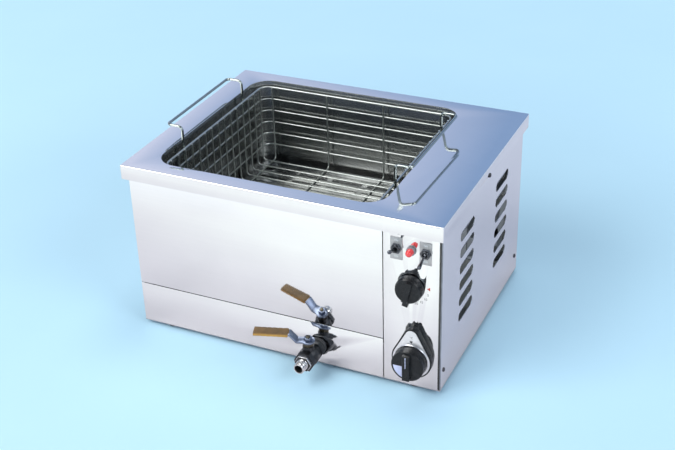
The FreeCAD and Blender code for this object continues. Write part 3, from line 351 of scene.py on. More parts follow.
@dataclass(frozen=True)
class MouldedFinish(Finish):
    """Moulded plastic or rubber: a fine skin, handling sheen, settled dust and, where asked, painted shade on the
    top.
    """

    skin: float = 1500.0
    skin_strength: float = 0.12
    coat: float = 0.0
    dust: float = 0.08
    glow: float = 0.0
    shaded_above: float = 0.0
    shine: float = 0.5

    def material(self) -> bpy.types.Material:
        """Builds the material."""
        material, graph, shader, place = self._start()
        skin = EFFECTS.use(graph, EFFECTS.marks, Vector=place, Stretch=(self.skin,) * 3, Contrast=1.8)
        clouds = EFFECTS.use(graph, EFFECTS.clouds, Vector=place, Stretch=(38.0, 38.0, 38.0), Contrast=2.4)
        specks = EFFECTS.use(graph, EFFECTS.specks, Vector=place, Density=700.0, Size=0.22)
        shade = graph.blend(clouds, self.dark, self.light)
        # painted shade: above the given height the colour goes nearly black, as shade on the top
        if self.shaded_above:
            height = graph.add("ShaderNodeSeparateXYZ", {0: place}).outputs[2]
            top = graph.spread(height, 0.0, 0.92, self.shaded_above - 0.0015, self.shaded_above + 0.0012)
            top_shade = graph.maths("MULTIPLY", top, graph.spread(clouds, 0.6, 1.0))
            shade = graph.blend(top_shade, shade, (0.04, 0.036, 0.029))
        dusty = graph.maths("MULTIPLY", specks, self.dust, clamp=True)
        graph.feed(shader.inputs["Base Color"], graph.blend(dusty, shade, (0.5, 0.5, 0.49)))
        mixed = graph.maths("ADD", graph.maths("MULTIPLY", skin, 0.4), graph.maths("MULTIPLY", clouds, 0.6))
        graph.feed(shader.inputs["Roughness"], graph.spread(mixed, self.smooth, self.rough))
        shader.inputs["Specular IOR Level"].default_value = self.shine
        shader.inputs["Coat Weight"].default_value = self.coat
        shader.inputs["Coat Roughness"].default_value = 0.06
        if self.glow:
            graph.feed(shader.inputs["Emission Color"], shade)
            shader.inputs["Emission Strength"].default_value = self.glow
        self._relief(graph, shader, skin, self.skin_strength, 0.0001)
        return material


@dataclass(frozen=True)
class HeatedFinish(Finish):
    """A heater tube's sheath: dull steel with straw and blue heat tints and scale."""

    tint: Colour = (0.30, 0.27, 0.36)
    scale: Colour = (0.62, 0.60, 0.56)

    def material(self) -> bpy.types.Material:
        """Builds the material."""
        material, graph, shader, place = self._start()
        bands = EFFECTS.use(graph, EFFECTS.clouds, Vector=place, Stretch=(16.0, 30.0, 30.0), Contrast=3.0)
        scale = EFFECTS.use(graph, EFFECTS.specks, Vector=place, Density=420.0, Size=0.5)
        metal = graph.blend(bands, self.dark, self.light)
        tinted = graph.blend(graph.spread(bands, 0.5, 0.0), metal, self.tint)
        scaled = graph.maths("MULTIPLY", scale, 0.5)
        graph.feed(shader.inputs["Base Color"], graph.blend(scaled, tinted, self.scale))
        graph.feed(shader.inputs["Roughness"], graph.spread(bands, self.rough, self.smooth))
        graph.feed(shader.inputs["Metallic"], graph.spread(scale, 1.0, 0.4))
        self._relief(graph, shader, scale, 0.3, 0.0002)
        return material


@dataclass(frozen=True)
class WoolFinish(Finish):
    """Pressed mineral wool: crossed fibres, clumps and a matt face."""

    def material(self) -> bpy.types.Material:
        """Builds the material."""
        material, graph, shader, place = self._start()
        across = EFFECTS.use(graph, EFFECTS.marks, Vector=place, Stretch=(90.0, 1400.0, 900.0), Contrast=2.6)
        along = EFFECTS.use(graph, EFFECTS.marks, Vector=place, Stretch=(1300.0, 120.0, 700.0), Contrast=2.6)
        clumps = EFFECTS.use(graph, EFFECTS.clouds, Vector=place, Stretch=(45.0, 45.0, 45.0), Contrast=2.2)
        fibres = graph.maths("MAXIMUM", across, along)
        amount = graph.maths("MULTIPLY", graph.maths("ADD", fibres, clumps), 0.5)
        graph.feed(shader.inputs["Base Color"], graph.blend(amount, self.dark, self.light))
        graph.feed(shader.inputs["Roughness"], graph.spread(fibres, self.rough, self.smooth))
        self._relief(graph, shader, fibres, 0.6, 0.0006)
        return material


FINISHES: dict[str, Finish] = {f.slot: f for f in (
    MetalFinish("polished_steel", (0.85, 0.86, 0.86), (0.78, 0.79, 0.80), 0.035, 0.09, Grain.ALONG_X, 0.005),
    MetalFinish("satin_steel", (0.40, 0.41, 0.40), (0.26, 0.27, 0.27), 0.16, 0.30, Grain.ALONG_Z, 0.03, 9.0),
    MetalFinish("galvanised_steel", (0.62, 0.64, 0.66), (0.44, 0.46, 0.49), 0.32, 0.55, Grain.CAST, 0.10, 55.0),
    WoolFinish("mineral_wool", (0.80, 0.76, 0.62), (0.56, 0.51, 0.38), 0.85, 0.98),
    MouldedFinish("rubber", (0.075, 0.075, 0.08), (0.04, 0.04, 0.042), 0.55, 0.8, 900.0, 0.2, 0.0, 0.18),
    HeatedFinish("heater_sheath", (0.50, 0.47, 0.43), (0.26, 0.24, 0.23), 0.3, 0.55),
    MetalFinish("brass", (0.14, 0.125, 0.095), (0.06, 0.055, 0.045), 0.28, 0.5, Grain.TURNED, 0.08, 60.0),
    MetalFinish("copper", (0.86, 0.55, 0.40), (0.56, 0.32, 0.22), 0.22, 0.42, Grain.TURNED, 0.06, 70.0),
    MetalFinish("chrome_wire", (0.60, 0.63, 0.61), (0.40, 0.43, 0.41), 0.22, 0.40, Grain.CAST, 0.06, 30.0),
    MetalFinish("stainless_pipe", (0.74, 0.75, 0.77), (0.50, 0.50, 0.51), 0.16, 0.36, Grain.TURNED, 0.08, 50.0),
    MetalFinish("valve_cast", (0.075, 0.079, 0.086), (0.03, 0.032, 0.036), 0.26, 0.5, Grain.CAST, 0.25, 60.0, 0.5),
    MouldedFinish("seat_white", (0.92, 0.92, 0.90), (0.84, 0.84, 0.81), 0.35, 0.5),
    MetalFinish("lever_steel", (0.25, 0.30, 0.40), (0.12, 0.14, 0.20), 0.2, 0.38, Grain.ALONG_X, 0.08, 60.0, 0.2),
    # the orange sleeve is painted nearly black above 90.5 mm: painted shade on its top
    MouldedFinish("sleeve_orange", (0.62, 0.33, 0.07), (0.40, 0.20, 0.045), 0.42, 0.62, 700.0, 0.2, 0.0, 0.1,
                  shaded_above=0.0905, shine=0.3),
    MetalFinish("switch_plate", (0.56, 0.57, 0.58), (0.34, 0.35, 0.36), 0.3, 0.5, Grain.ALONG_Z, 0.1, 70.0),
    MouldedFinish("switch_black", (0.05, 0.05, 0.055), (0.03, 0.03, 0.032), 0.25, 0.45),
    MetalFinish("switch_metal", (0.17, 0.178, 0.20), (0.07, 0.074, 0.085), 0.14, 0.3, Grain.TURNED, 0.06, 90.0),
    MouldedFinish("lamp_bezel", (0.30, 0.30, 0.32), (0.22, 0.22, 0.24), 0.3, 0.45),
    MouldedFinish("lamp_red", (0.80, 0.06, 0.06), (0.50, 0.015, 0.02), 0.08, 0.16, 700.0, 0.04, 0.8, 0.02, 0.35),
    MouldedFinish("control_case", (0.80, 0.79, 0.74), (0.68, 0.67, 0.62), 0.4, 0.6),
    MetalFinish("spindle_steel", (0.70, 0.71, 0.73), (0.48, 0.49, 0.51), 0.2, 0.36, Grain.TURNED, 0.06, 80.0),
    MouldedFinish("knob_black", (0.018, 0.019, 0.021), (0.008, 0.009, 0.010), 0.2, 0.34, 900.0, 0.06, 0.06, 0.02,
                  shine=0.22),
    MetalFinish("faceplate_silver", (0.84, 0.85, 0.87), (0.66, 0.67, 0.70), 0.22, 0.4, Grain.ALONG_X, 0.08, 60.0),
    MetalFinish("ring_chrome", (0.86, 0.87, 0.89), (0.66, 0.67, 0.69), 0.07, 0.16, Grain.TURNED, 0.03, 90.0),
    # inlay_pale: the pale lavender patch on the thermostat knob's lower left is a painted highlight; the knob's
    # pointer line shares it
    MouldedFinish("inlay_pale", (0.72, 0.70, 0.88), (0.60, 0.58, 0.78), 0.2, 0.36, 500.0, 0.1, 0.2, 0.05),
)}

# Named extra finishes: printed marks, blackened screws, and finishes of painted light (shade, glow and darker
# shaded copies)
PRINTS: dict[str, Finish] = {
    # inner: a duller zinc that glows, painted light for the partition wall
    "inner": MetalFinish("inner_painted_glow", (0.50, 0.55, 0.60), (0.38, 0.42, 0.47), 0.4, 0.6, Grain.CAST, 0.1, 40.0,
                         painted_glow=0.30),
    # handle: a darker, smoother copy of the chrome wire, painted shade for the handles
    "handle": MetalFinish("handle_wire", (0.46, 0.50, 0.48), (0.28, 0.32, 0.31), 0.08, 0.2, Grain.CAST, 0.05, 30.0),
    # pressed: a darker, rougher steel for the louvre flaps, painted shade in their recesses
    "pressed": MetalFinish("louvre_painted_shade", (0.36, 0.39, 0.42), (0.24, 0.26, 0.29), 0.5, 0.7, Grain.CAST, 0.1, 60.0),
    # shade: a near-black finish for painted shade in gaps and bores
    "shade": MouldedFinish("dark_strip", (0.035, 0.035, 0.03), (0.015, 0.015, 0.015), 0.35, 0.5),
    "screw": MetalFinish("blackened_screw", (0.12, 0.12, 0.13), (0.05, 0.05, 0.055), 0.3, 0.5, Grain.TURNED, 0.1),
    "red": MouldedFinish("print_red", (0.74, 0.09, 0.06), (0.60, 0.06, 0.04), 0.4, 0.55),
    "black": MouldedFinish("print_black", (0.03, 0.03, 0.035), (0.02, 0.02, 0.022), 0.4, 0.55),
    "white": MouldedFinish("print_white", (0.86, 0.86, 0.84), (0.76, 0.76, 0.73), 0.4, 0.55),
}


class Paint:
    """Hands out each finish's material, built once."""

    made: dict[str, bpy.types.Material] = {}

    @classmethod
    def of(cls, slot: str) -> bpy.types.Material:
        """The material of a slot."""
        if slot not in cls.made:
            cls.made[slot] = FINISHES[slot].material()
        return cls.made[slot]

    @classmethod
    def ink(cls, name: str) -> bpy.types.Material:
        """The material of a printed mark, or of another named finish: painted shade and painted glow among them."""
        key = "ink " + name
        if key not in cls.made:
            cls.made[key] = PRINTS[name].material()
        return cls.made[key]


# Meshes


class Workshop:
    """Turns mesh data and geometry tools into finished pieces."""

    @staticmethod
    def piece(name: str, mesh: bpy.types.Mesh, body: str, slot: str, stands_for: Sequence[str] = (),
              material: Optional[bpy.types.Material] = None) -> bpy.types.Object:
        """Makes a finished piece that rides on a body.

        Args:
            name: The piece's name.
            mesh: Its mesh, already in place.
            body: The body that it rides on.
            slot: The record's slot that it takes its finish from.
            stands_for: The CAD nodes that it replaces.
            material: Its material, if it isn't the slot's own.

        Returns:
            The new object.
        """
        obj = linked(name, mesh)
        mesh.materials.clear()
        mesh.materials.append(material or Paint.of(slot))
        bpy.context.view_layer.update()
        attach(obj, body)
        if stands_for:
            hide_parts(*stands_for)
        log.info("%s: %d faces on %s", name, len(mesh.polygons), body)
        return obj

    @staticmethod
    def repaint(obj: bpy.types.Object, material: bpy.types.Material,
                chosen: Callable[[bpy.types.MeshPolygon], bool]) -> None:
        """Gives some of a piece's faces another material.

        Args:
            obj: The piece.
            material: The other material.
            chosen: Whether a face takes it.
        """
        obj.data.materials.append(material)
        last = len(obj.data.materials) - 1
        for face in obj.data.polygons:
            if chosen(face):
                face.material_index = last

    @staticmethod
    def merged(node: str) -> bmesh.types.BMesh:
        """A node's mesh with its loose triangles merged and its flats joined."""
        shape = bmesh.new()
        shape.from_mesh(frame["nodes"][node].data)
        bmesh.ops.remove_doubles(shape, verts=shape.verts, dist=MERGE_DISTANCE)
        bmesh.ops.dissolve_limit(shape, angle_limit=math.radians(FLAT_ANGLE), verts=shape.verts,
                                 edges=shape.edges)
        return shape

    @classmethod
    def softened(cls, node: str, width: float = 0.35, segments: int = 2, angle: float = 32.0,
                 fold: float = 0.0) -> bpy.types.Object:
        """Replaces a node by a copy whose hard edges are broken, as a real part's are.

        Args:
            node: The CAD node.
            width: How wide the broken edge is, in millimetres.
            segments: The faces across it.
            angle: The least angle in degrees of an edge that is broken.
            fold: How wide its rightmost front fold is rounded, in millimetres.

        Returns:
            The new piece.
        """
        shape = cls.merged(node)
        if fold:
            cls.round_fold(shape, fold * MM)
        mesh = bpy.data.meshes.new(node + "_mesh")
        shape.to_mesh(mesh)
        shape.free()
        holder = linked("holder", mesh)
        bevel = holder.modifiers.new("edges", "BEVEL")
        bevel.width = width * MM
        bevel.segments = segments
        bevel.limit_method = "ANGLE"
        bevel.angle_limit = math.radians(angle)
        result = cls.evaluated(holder)
        cls.shade(result, 30.0)
        record = frame["record"]
        slot = [s["material_slot"] for s in record["subparts"] if s["node"] == node][0]
        body = frame["nodes"][node]["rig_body"]
        return cls.piece(node + "_finished", result, body, slot, [node])

    @staticmethod
    def round_fold(shape: bmesh.types.BMesh, width: float) -> None:
        """Rounds a sheet's outermost upright fold at the right front.

        Args:
            shape: The sheet.
            width: How wide the rounding is, in metres.
        """
        x = max(v.co.x for v in shape.verts)
        y = min(v.co.y for v in shape.verts)
        edges = [e for e in shape.edges
                 if all(max(abs(v.co.x - x), abs(v.co.y - y)) < SAME_PLACE for v in e.verts)]
        log.info("rounding a fold of %d edges", len(edges))
        bmesh.ops.bevel(shape, geom=edges, offset=width, segments=6, affect="EDGES", profile=0.5)

    @staticmethod
    def evaluated(holder: bpy.types.Object) -> bpy.types.Mesh:
        """The holder's mesh with its modifiers applied; the holder is removed."""
        bpy.context.view_layer.update()
        graph = bpy.context.evaluated_depsgraph_get()
        mesh = bpy.data.meshes.new_from_object(holder.evaluated_get(graph), depsgraph=graph)
        bpy.data.objects.remove(holder)
        return mesh

    @staticmethod
    def shade(mesh: bpy.types.Mesh, angle: float) -> None:
        """Smooths a mesh, with its sharper edges kept.

        Args:
            mesh: The mesh.
            angle: The least angle in degrees of an edge that stays sharp.
        """
        shape = bmesh.new()
        shape.from_mesh(mesh)
        limit = math.radians(angle)
        for face in shape.faces:
            face.smooth = True
        for edge in shape.edges:
            edge.smooth = len(edge.link_faces) == 2 and edge.calc_face_angle(0.0) < limit
        shape.to_mesh(mesh)
        shape.free()

    @staticmethod
    def lathe(profile: Sequence[tuple[float, float]], steps: int = 48) -> bmesh.types.BMesh:
        """Turns a profile about the Y axis, towards -Y.

        Args:
            profile: Radius and reach towards -Y in millimetres, from the axis outward and back.
            steps: The faces round it.

        Returns:
            The turned shape, closed where the profile meets the axis.
        """
        shape = bmesh.new()
        rings: list[list[bmesh.types.BMVert]] = []
        for radius, reach in profile:
            if radius < 1e-6:
                rings.append([shape.verts.new((0.0, -reach * MM, 0.0))])
                continue
            ring = []
            for i in range(steps):
                turn = 2 * math.pi * i / steps
                ring.append(shape.verts.new((radius * MM * math.cos(turn), -reach * MM,
                                             radius * MM * math.sin(turn))))
            rings.append(ring)
        for low, high in zip(rings, rings[1:]):
            for i in range(steps):
                j = (i + 1) % steps
                corners = [low[i % len(low)], low[j % len(low)], high[j % len(high)], high[i % len(high)]]
                unique = list(dict.fromkeys(corners))
                if len(unique) > 2:
                    shape.faces.new(unique)
        bmesh.ops.recalc_face_normals(shape, faces=shape.faces)
        return shape

    @staticmethod
    def to_mesh(shape: bmesh.types.BMesh, name: str, place: Matrix = Matrix.Identity(4)) -> bpy.types.Mesh:
        """Ends a bmesh as a mesh at its place.

        Args:
            shape: The shape, which is freed.
            name: The mesh's name.
            place: Where it goes.

        Returns:
            The mesh.
        """
        shape.transform(place)
        mesh = bpy.data.meshes.new(name)
        shape.to_mesh(mesh)
        shape.free()
        return mesh

    @staticmethod
    def block(centre: Vector, size: Sequence[float], edge: float, segments: int) -> bpy.types.Mesh:
        """A small block with rounded edges.

        Args:
            centre: Its middle in metres.
            size: Its width, depth and height in metres.
            edge: How wide its rounded edges are, in millimetres.
            segments: The faces across an edge.

        Returns:
            The block's mesh, in place.
        """
        shape = bmesh.new()
        bmesh.ops.create_cube(shape, size=1.0, matrix=Matrix.Translation(centre) @ Matrix.Diagonal((*size, 1.0)))
        bmesh.ops.bevel(shape, geom=shape.edges[:], offset=edge * MM, segments=segments, affect="EDGES")
        mesh = Workshop.to_mesh(shape, "block")
        Workshop.shade(mesh, SOFT_ANGLE)
        return mesh

    @staticmethod
    def joined(meshes: Sequence[bpy.types.Mesh], name: str) -> bpy.types.Mesh:
        """Several meshes as one.

        Args:
            meshes: The meshes, which are removed.
            name: The new mesh's name.

        Returns:
            The joined mesh.
        """
        shape = bmesh.new()
        for mesh in meshes:
            shape.from_mesh(mesh)
            bpy.data.meshes.remove(mesh)
        result = bpy.data.meshes.new(name)
        shape.to_mesh(result)
        shape.free()
        return result

    @staticmethod
    def words(text: str, height: float, centre: Vector) -> bpy.types.Mesh:
        """Flat raised lettering that faces the front.

        Args:
            text: The characters.
            height: Their height in millimetres.
            centre: Where their middle lies on the surface, in millimetres.

        Returns:
            The lettering's mesh, in place.
        """
        curve = bpy.data.curves.new("words", "FONT")
        curve.body = text
        curve.size = height * MM * FONT_SCALE
        curve.align_x = curve.align_y = "CENTER"
        curve.extrude = INK_THICKNESS * MM / 2
        curve.resolution_u = 3
        mesh = Workshop.evaluated(linked("words", curve))
        bpy.data.curves.remove(curve)
        mesh.transform(shifted(centre) @ rotated(90, "X"))
        return mesh


class GeometryTool:
    """A geometry-node tree with named inputs, run once on a mesh and turned into plain mesh."""

    def __init__(self, name: str) -> None:
        """Starts the tree with its geometry input and output.

        Args:
            name: The tree's name.
        """
        self.tree = bpy.data.node_groups.new(name, "GeometryNodeTree")
        self.tree.interface.new_socket("Geometry", in_out="INPUT", socket_type="NodeSocketGeometry")
        self.tree.interface.new_socket("Geometry", in_out="OUTPUT", socket_type="NodeSocketGeometry")
        self.graph = Graph(self.tree)
        self.names: dict[str, str] = {}
        self.start: Optional[bpy.types.Node] = None

    def takes(self, **kinds: str) -> None:
        for name, kind in kinds.items():
            socket = self.tree.interface.new_socket(name, in_out="INPUT", socket_type="NodeSocket" + kind)
            self.names[name] = socket.identifier
        self.start = self.graph.add("NodeGroupInput")

    def given(self, name: str) -> bpy.types.NodeSocket:
        """The output of a named input."""
        return self.start.outputs[name]

    def ends(self, geometry: bpy.types.NodeSocket) -> None:
        """Realizes, smooths and paints what the tree made, and ends it."""
        real = self.graph.add("GeometryNodeRealizeInstances", {0: geometry})
        smooth = self.graph.add("GeometryNodeSetShadeSmooth", {0: real.outputs[0]})
        painted = self.graph.add("GeometryNodeSetMaterial", {"Geometry": smooth.outputs[0],
                                                             "Material": self.given("Material")})
        self.graph.add("NodeGroupOutput", {0: painted.outputs[0]})

    def run(self, source: bpy.types.Mesh, **values: object) -> bpy.types.Mesh:
        """Runs the tree.

        Args:
            source: The mesh that it starts from, which is removed.
            values: Its named inputs.

        Returns:
            The result as a plain mesh.
        """
        holder = linked("tool", source)
        modifier = holder.modifiers.new("tool", "NODES")
        modifier.node_group = self.tree
        for name, value in values.items():
            modifier[self.names[name]] = value
        mesh = Workshop.evaluated(holder)
        bpy.data.meshes.remove(source)
        return mesh


class WireTool(GeometryTool):
    """Bends round wire through corners and repeats it in a row."""

    BEND_STEPS = 8
    WIRE_SIDES = 14

    def __init__(self) -> None:
        """Builds the tree."""
        super().__init__("bent wire")
        self.takes(WireRadius="Float", BendRadius="Float", Count="Int", Pitch="Vector", Material="Material")
        g = self.graph
        route = g.add("GeometryNodeMeshToCurve", {0: self.given("Geometry")})
        bent = g.add("GeometryNodeFilletCurve", {"Curve": route.outputs[0], "Radius": self.given("BendRadius")},
                     mode="POLY")
        bent.inputs["Count"].default_value = self.BEND_STEPS
        circle = g.add("GeometryNodeCurvePrimitiveCircle", {"Radius": self.given("WireRadius"),
                                                            "Resolution": self.WIRE_SIDES})
        wire = g.add("GeometryNodeCurveToMesh", {"Curve": bent.outputs[0], "Profile Curve": circle.outputs[0],
                                                 "Fill Caps": True})
        row = g.add("GeometryNodeMeshLine", {"Count": self.given("Count"), "Offset": self.given("Pitch")},
                    mode="OFFSET")
        placed = g.add("GeometryNodeInstanceOnPoints", {"Points": row.outputs[0], "Instance": wire.outputs[0]})
        self.ends(placed.outputs[0])

    def bend(self, points: Sequence[Vector], radius: float, bend: float, slot: str, closed: bool = False,
             count: int = 1, pitch: Vector = Vector((0, 0, 0))) -> bpy.types.Mesh:
        """Bends one wire and repeats it.

        Args:
            points: The first wire's corners in millimetres.
            radius: The wire's radius in millimetres.
            bend: The bends' radius in millimetres.
            slot: The finish's slot.
            closed: Whether the wire is a ring.
            count: How many wires there are.
            pitch: The step from one to the next in millimetres.

        Returns:
            The wires' mesh.
        """
        shape = bmesh.new()
        corners = [shape.verts.new(p * MM) for p in points]
        for a, b in zip(corners, corners[1:] + corners[:1] if closed else corners[1:]):
            shape.edges.new((a, b))
        return self.run(Workshop.to_mesh(shape, "route"), WireRadius=radius * MM, BendRadius=bend * MM,
                        Count=count, Pitch=pitch * MM, Material=Paint.of(slot))


class BeadTool(GeometryTool):
    """Lays a small weld bead on every point."""

    SIZES = (0.8, 1.15)
    SEED = 11

    def __init__(self) -> None:
        """Builds the tree."""
        super().__init__("weld beads")
        self.takes(Radius="Float", Material="Material")
        g = self.graph
        bead = g.add("GeometryNodeMeshIcoSphere", {"Radius": self.given("Radius"), "Subdivisions": 2})
        size = g.add("FunctionNodeRandomValue", {"Seed": self.SEED}, data_type="FLOAT")
        floats = [s for s in size.inputs if s.type == "VALUE"]
        floats[0].default_value, floats[1].default_value = self.SIZES
        chosen = [s for s in size.outputs if s.type == "VALUE"][0]
        placed = g.add("GeometryNodeInstanceOnPoints", {"Points": self.given("Geometry"),
                                                        "Instance": bead.outputs[0], "Scale": chosen})
        self.ends(placed.outputs[0])

    def lay(self, places: Sequence[Vector], radius: float, slot: str) -> bpy.types.Mesh:
        """Lays the beads.

        Args:
            places: Their middles in millimetres.
            radius: Their radius in millimetres.
            slot: The finish's slot.

        Returns:
            The beads' mesh.
        """
        shape = bmesh.new()
        for place in places:
            shape.verts.new(place * MM)
        return self.run(Workshop.to_mesh(shape, "places"), Radius=radius * MM, Material=Paint.of(slot))


class ThreadTool(GeometryTool):
    """Winds a screw thread round the Y axis."""

    STEPS = 32
    RIDGE_SIDES = 6

    def __init__(self) -> None:
        """Builds the tree."""
        super().__init__("thread")
        self.takes(Radius="Float", Turns="Float", Length="Float", Depth="Float", Material="Material")
        g = self.graph
        helix = g.add("GeometryNodeCurveSpiral", {"Rotations": self.given("Turns"),
                                                  "Start Radius": self.given("Radius"),
                                                  "End Radius": self.given("Radius"),
                                                  "Height": self.given("Length"),
                                                  "Resolution": self.STEPS})
        profile = g.add("GeometryNodeCurvePrimitiveCircle", {"Radius": self.given("Depth"),
                                                             "Resolution": self.RIDGE_SIDES})
        ridge = g.add("GeometryNodeCurveToMesh", {"Curve": helix.outputs[0], "Profile Curve": profile.outputs[0],
                                                  "Fill Caps": True})
        laid = g.add("GeometryNodeTransform", {"Geometry": ridge.outputs[0], "Rotation": UPRIGHT_TO_Y})
        both = g.add("GeometryNodeJoinGeometry")
        self.tree.links.new(self.given("Geometry"), both.inputs[0])
        self.tree.links.new(laid.outputs[0], both.inputs[0])
        self.ends(both.outputs[0])


class RibTool(GeometryTool):
    """Stands a ring of small round ribs about the Y axis."""

    SIDES = 8

    def __init__(self) -> None:
        """Builds the tree."""
        super().__init__("ribs")
        self.takes(Count="Int", RingRadius="Float", RibRadius="Float", Length="Float", Material="Material")
        g = self.graph
        ring = g.add("GeometryNodeMeshCircle", {"Vertices": self.given("Count"),
                                                "Radius": self.given("RingRadius")})
        laid = g.add("GeometryNodeTransform", {"Geometry": ring.outputs[0], "Rotation": UPRIGHT_TO_Y})
        rib = g.add("GeometryNodeMeshCylinder", {"Radius": self.given("RibRadius"),
                                                 "Depth": self.given("Length"), "Vertices": self.SIDES})
        stood = g.add("GeometryNodeTransform", {"Geometry": rib.outputs[0], "Rotation": UPRIGHT_TO_Y})
        placed = g.add("GeometryNodeInstanceOnPoints", {"Points": laid.outputs[0], "Instance": stood.outputs[0]})
        self.ends(placed.outputs[0])

    def ring(self, count: int, ring: float, rib: float, length: float, centre: Vector,
             material: bpy.types.Material) -> bpy.types.Mesh:
        """Stands one ring of ribs.

        Args:
            count: How many ribs there are.
            ring: The ring's radius in millimetres.
            rib: A rib's radius in millimetres.
            length: A rib's length in millimetres.
            centre: The ring's middle in millimetres.
            material: The ribs' material.

        Returns:
            The ribs' mesh, in place.
        """
        shape = bmesh.new()
        shape.verts.new((0, 0, 0))
        mesh = self.run(Workshop.to_mesh(shape, "seed"), Count=count, RingRadius=ring * MM,
                        RibRadius=rib * MM, Length=length * MM, Material=material)
        mesh.transform(shifted(centre))
        return mesh

    def grip(self, name: str, body: str, count: int, ring: float, rib: float, length: float,
             centre: Vector) -> None:
        """Makes a piece of one ring of black grip ribs.

        Args:
            name: The piece's name.
            body: The body that it rides on.
            count: How many ribs there are.
            ring: The ring's radius in millimetres.
            rib: A rib's radius in millimetres.
            length: A rib's length in millimetres.
            centre: The ring's middle in millimetres.
        """
        mesh = self.ring(count, ring, rib, length, centre, Paint.of("knob_black"))
        Workshop.shade(mesh, SOFT_ANGLE)
        Workshop.piece(name, mesh, body, "knob_black")


class ScrewTool(GeometryTool):
    """Sets one screw on every point, turned to the way that the point faces."""

    def __init__(self) -> None:
        """Builds the tree."""
        super().__init__("screws")
        self.takes(Template="Object", Material="Material")
        g = self.graph
        info = g.add("GeometryNodeObjectInfo", {"Object": self.given("Template")})
        facing = g.add("GeometryNodeInputNamedAttribute", {"Name": "facing"}, data_type="FLOAT_VECTOR")
        aimed = g.add("FunctionNodeAlignRotationToVector", {"Vector": facing.outputs[0]}, axis="Z")
        placed = g.add("GeometryNodeInstanceOnPoints", {"Points": self.given("Geometry"),
                                                        "Instance": info.outputs["Geometry"],
                                                        "Rotation": aimed.outputs[0]})
        self.ends(placed.outputs[0])

    def drive(self, seats: Sequence[tuple[Vector, Vector]], length: float,
              material: bpy.types.Material) -> bpy.types.Mesh:
        """Drives cross-recessed pan-head screws.

        Args:
            seats: Where each head sits, in millimetres, and its outward direction.
            length: The shanks' length in millimetres.
            material: The screws' material.

        Returns:
            The screws' mesh.
        """
        template = linked("screw", self._one(length))
        shape = bmesh.new()
        layer = shape.verts.layers.float_vector.new("facing")
        for seat, outward in seats:
            shape.verts.new(seat * MM)[layer] = outward
        mesh = self.run(Workshop.to_mesh(shape, "seats"), Template=template, Material=material)
        data = template.data
        bpy.data.objects.remove(template)
        bpy.data.meshes.remove(data)
        Workshop.shade(mesh, 35.0)
        return mesh

    @staticmethod
    def _one(length: float) -> bpy.types.Mesh:
        """One screw along +Z, with a cross cut into its head."""
        head = [(0.0, 2.2), (1.3, 2.17), (2.5, 1.95), (3.4, 1.5), (3.9, 0.85), (4.0, 0.3), (4.0, 0.0),
                (2.0, 0.0), (2.0, -length + 1.0), (1.2, -length), (0.0, -length)]
        body = Workshop.to_mesh(Workshop.lathe(head, 24), "head", rotated(-90, "X"))
        holder = linked("head", body)
        cutters = bmesh.new()
        for turn in (0.0, math.pi / 2):
            place = Matrix.Translation((0, 0, 2.0 * MM)) @ Matrix.Rotation(turn, 4, "Z") @ Matrix.Diagonal(
                (3.8 * MM, 0.75 * MM, 2.2 * MM, 1.0))
            bmesh.ops.create_cube(cutters, size=1.0, matrix=place)
        cross = linked("cross", Workshop.to_mesh(cutters, "cross"))
        cut = holder.modifiers.new("cross", "BOOLEAN")
        cut.object = cross
        cut.operation = "DIFFERENCE"
        cut.solver = "EXACT"
        cut.use_self = True
        mesh = Workshop.evaluated(holder)
        bpy.data.objects.remove(cross)
        return mesh


# Sub-assemblies


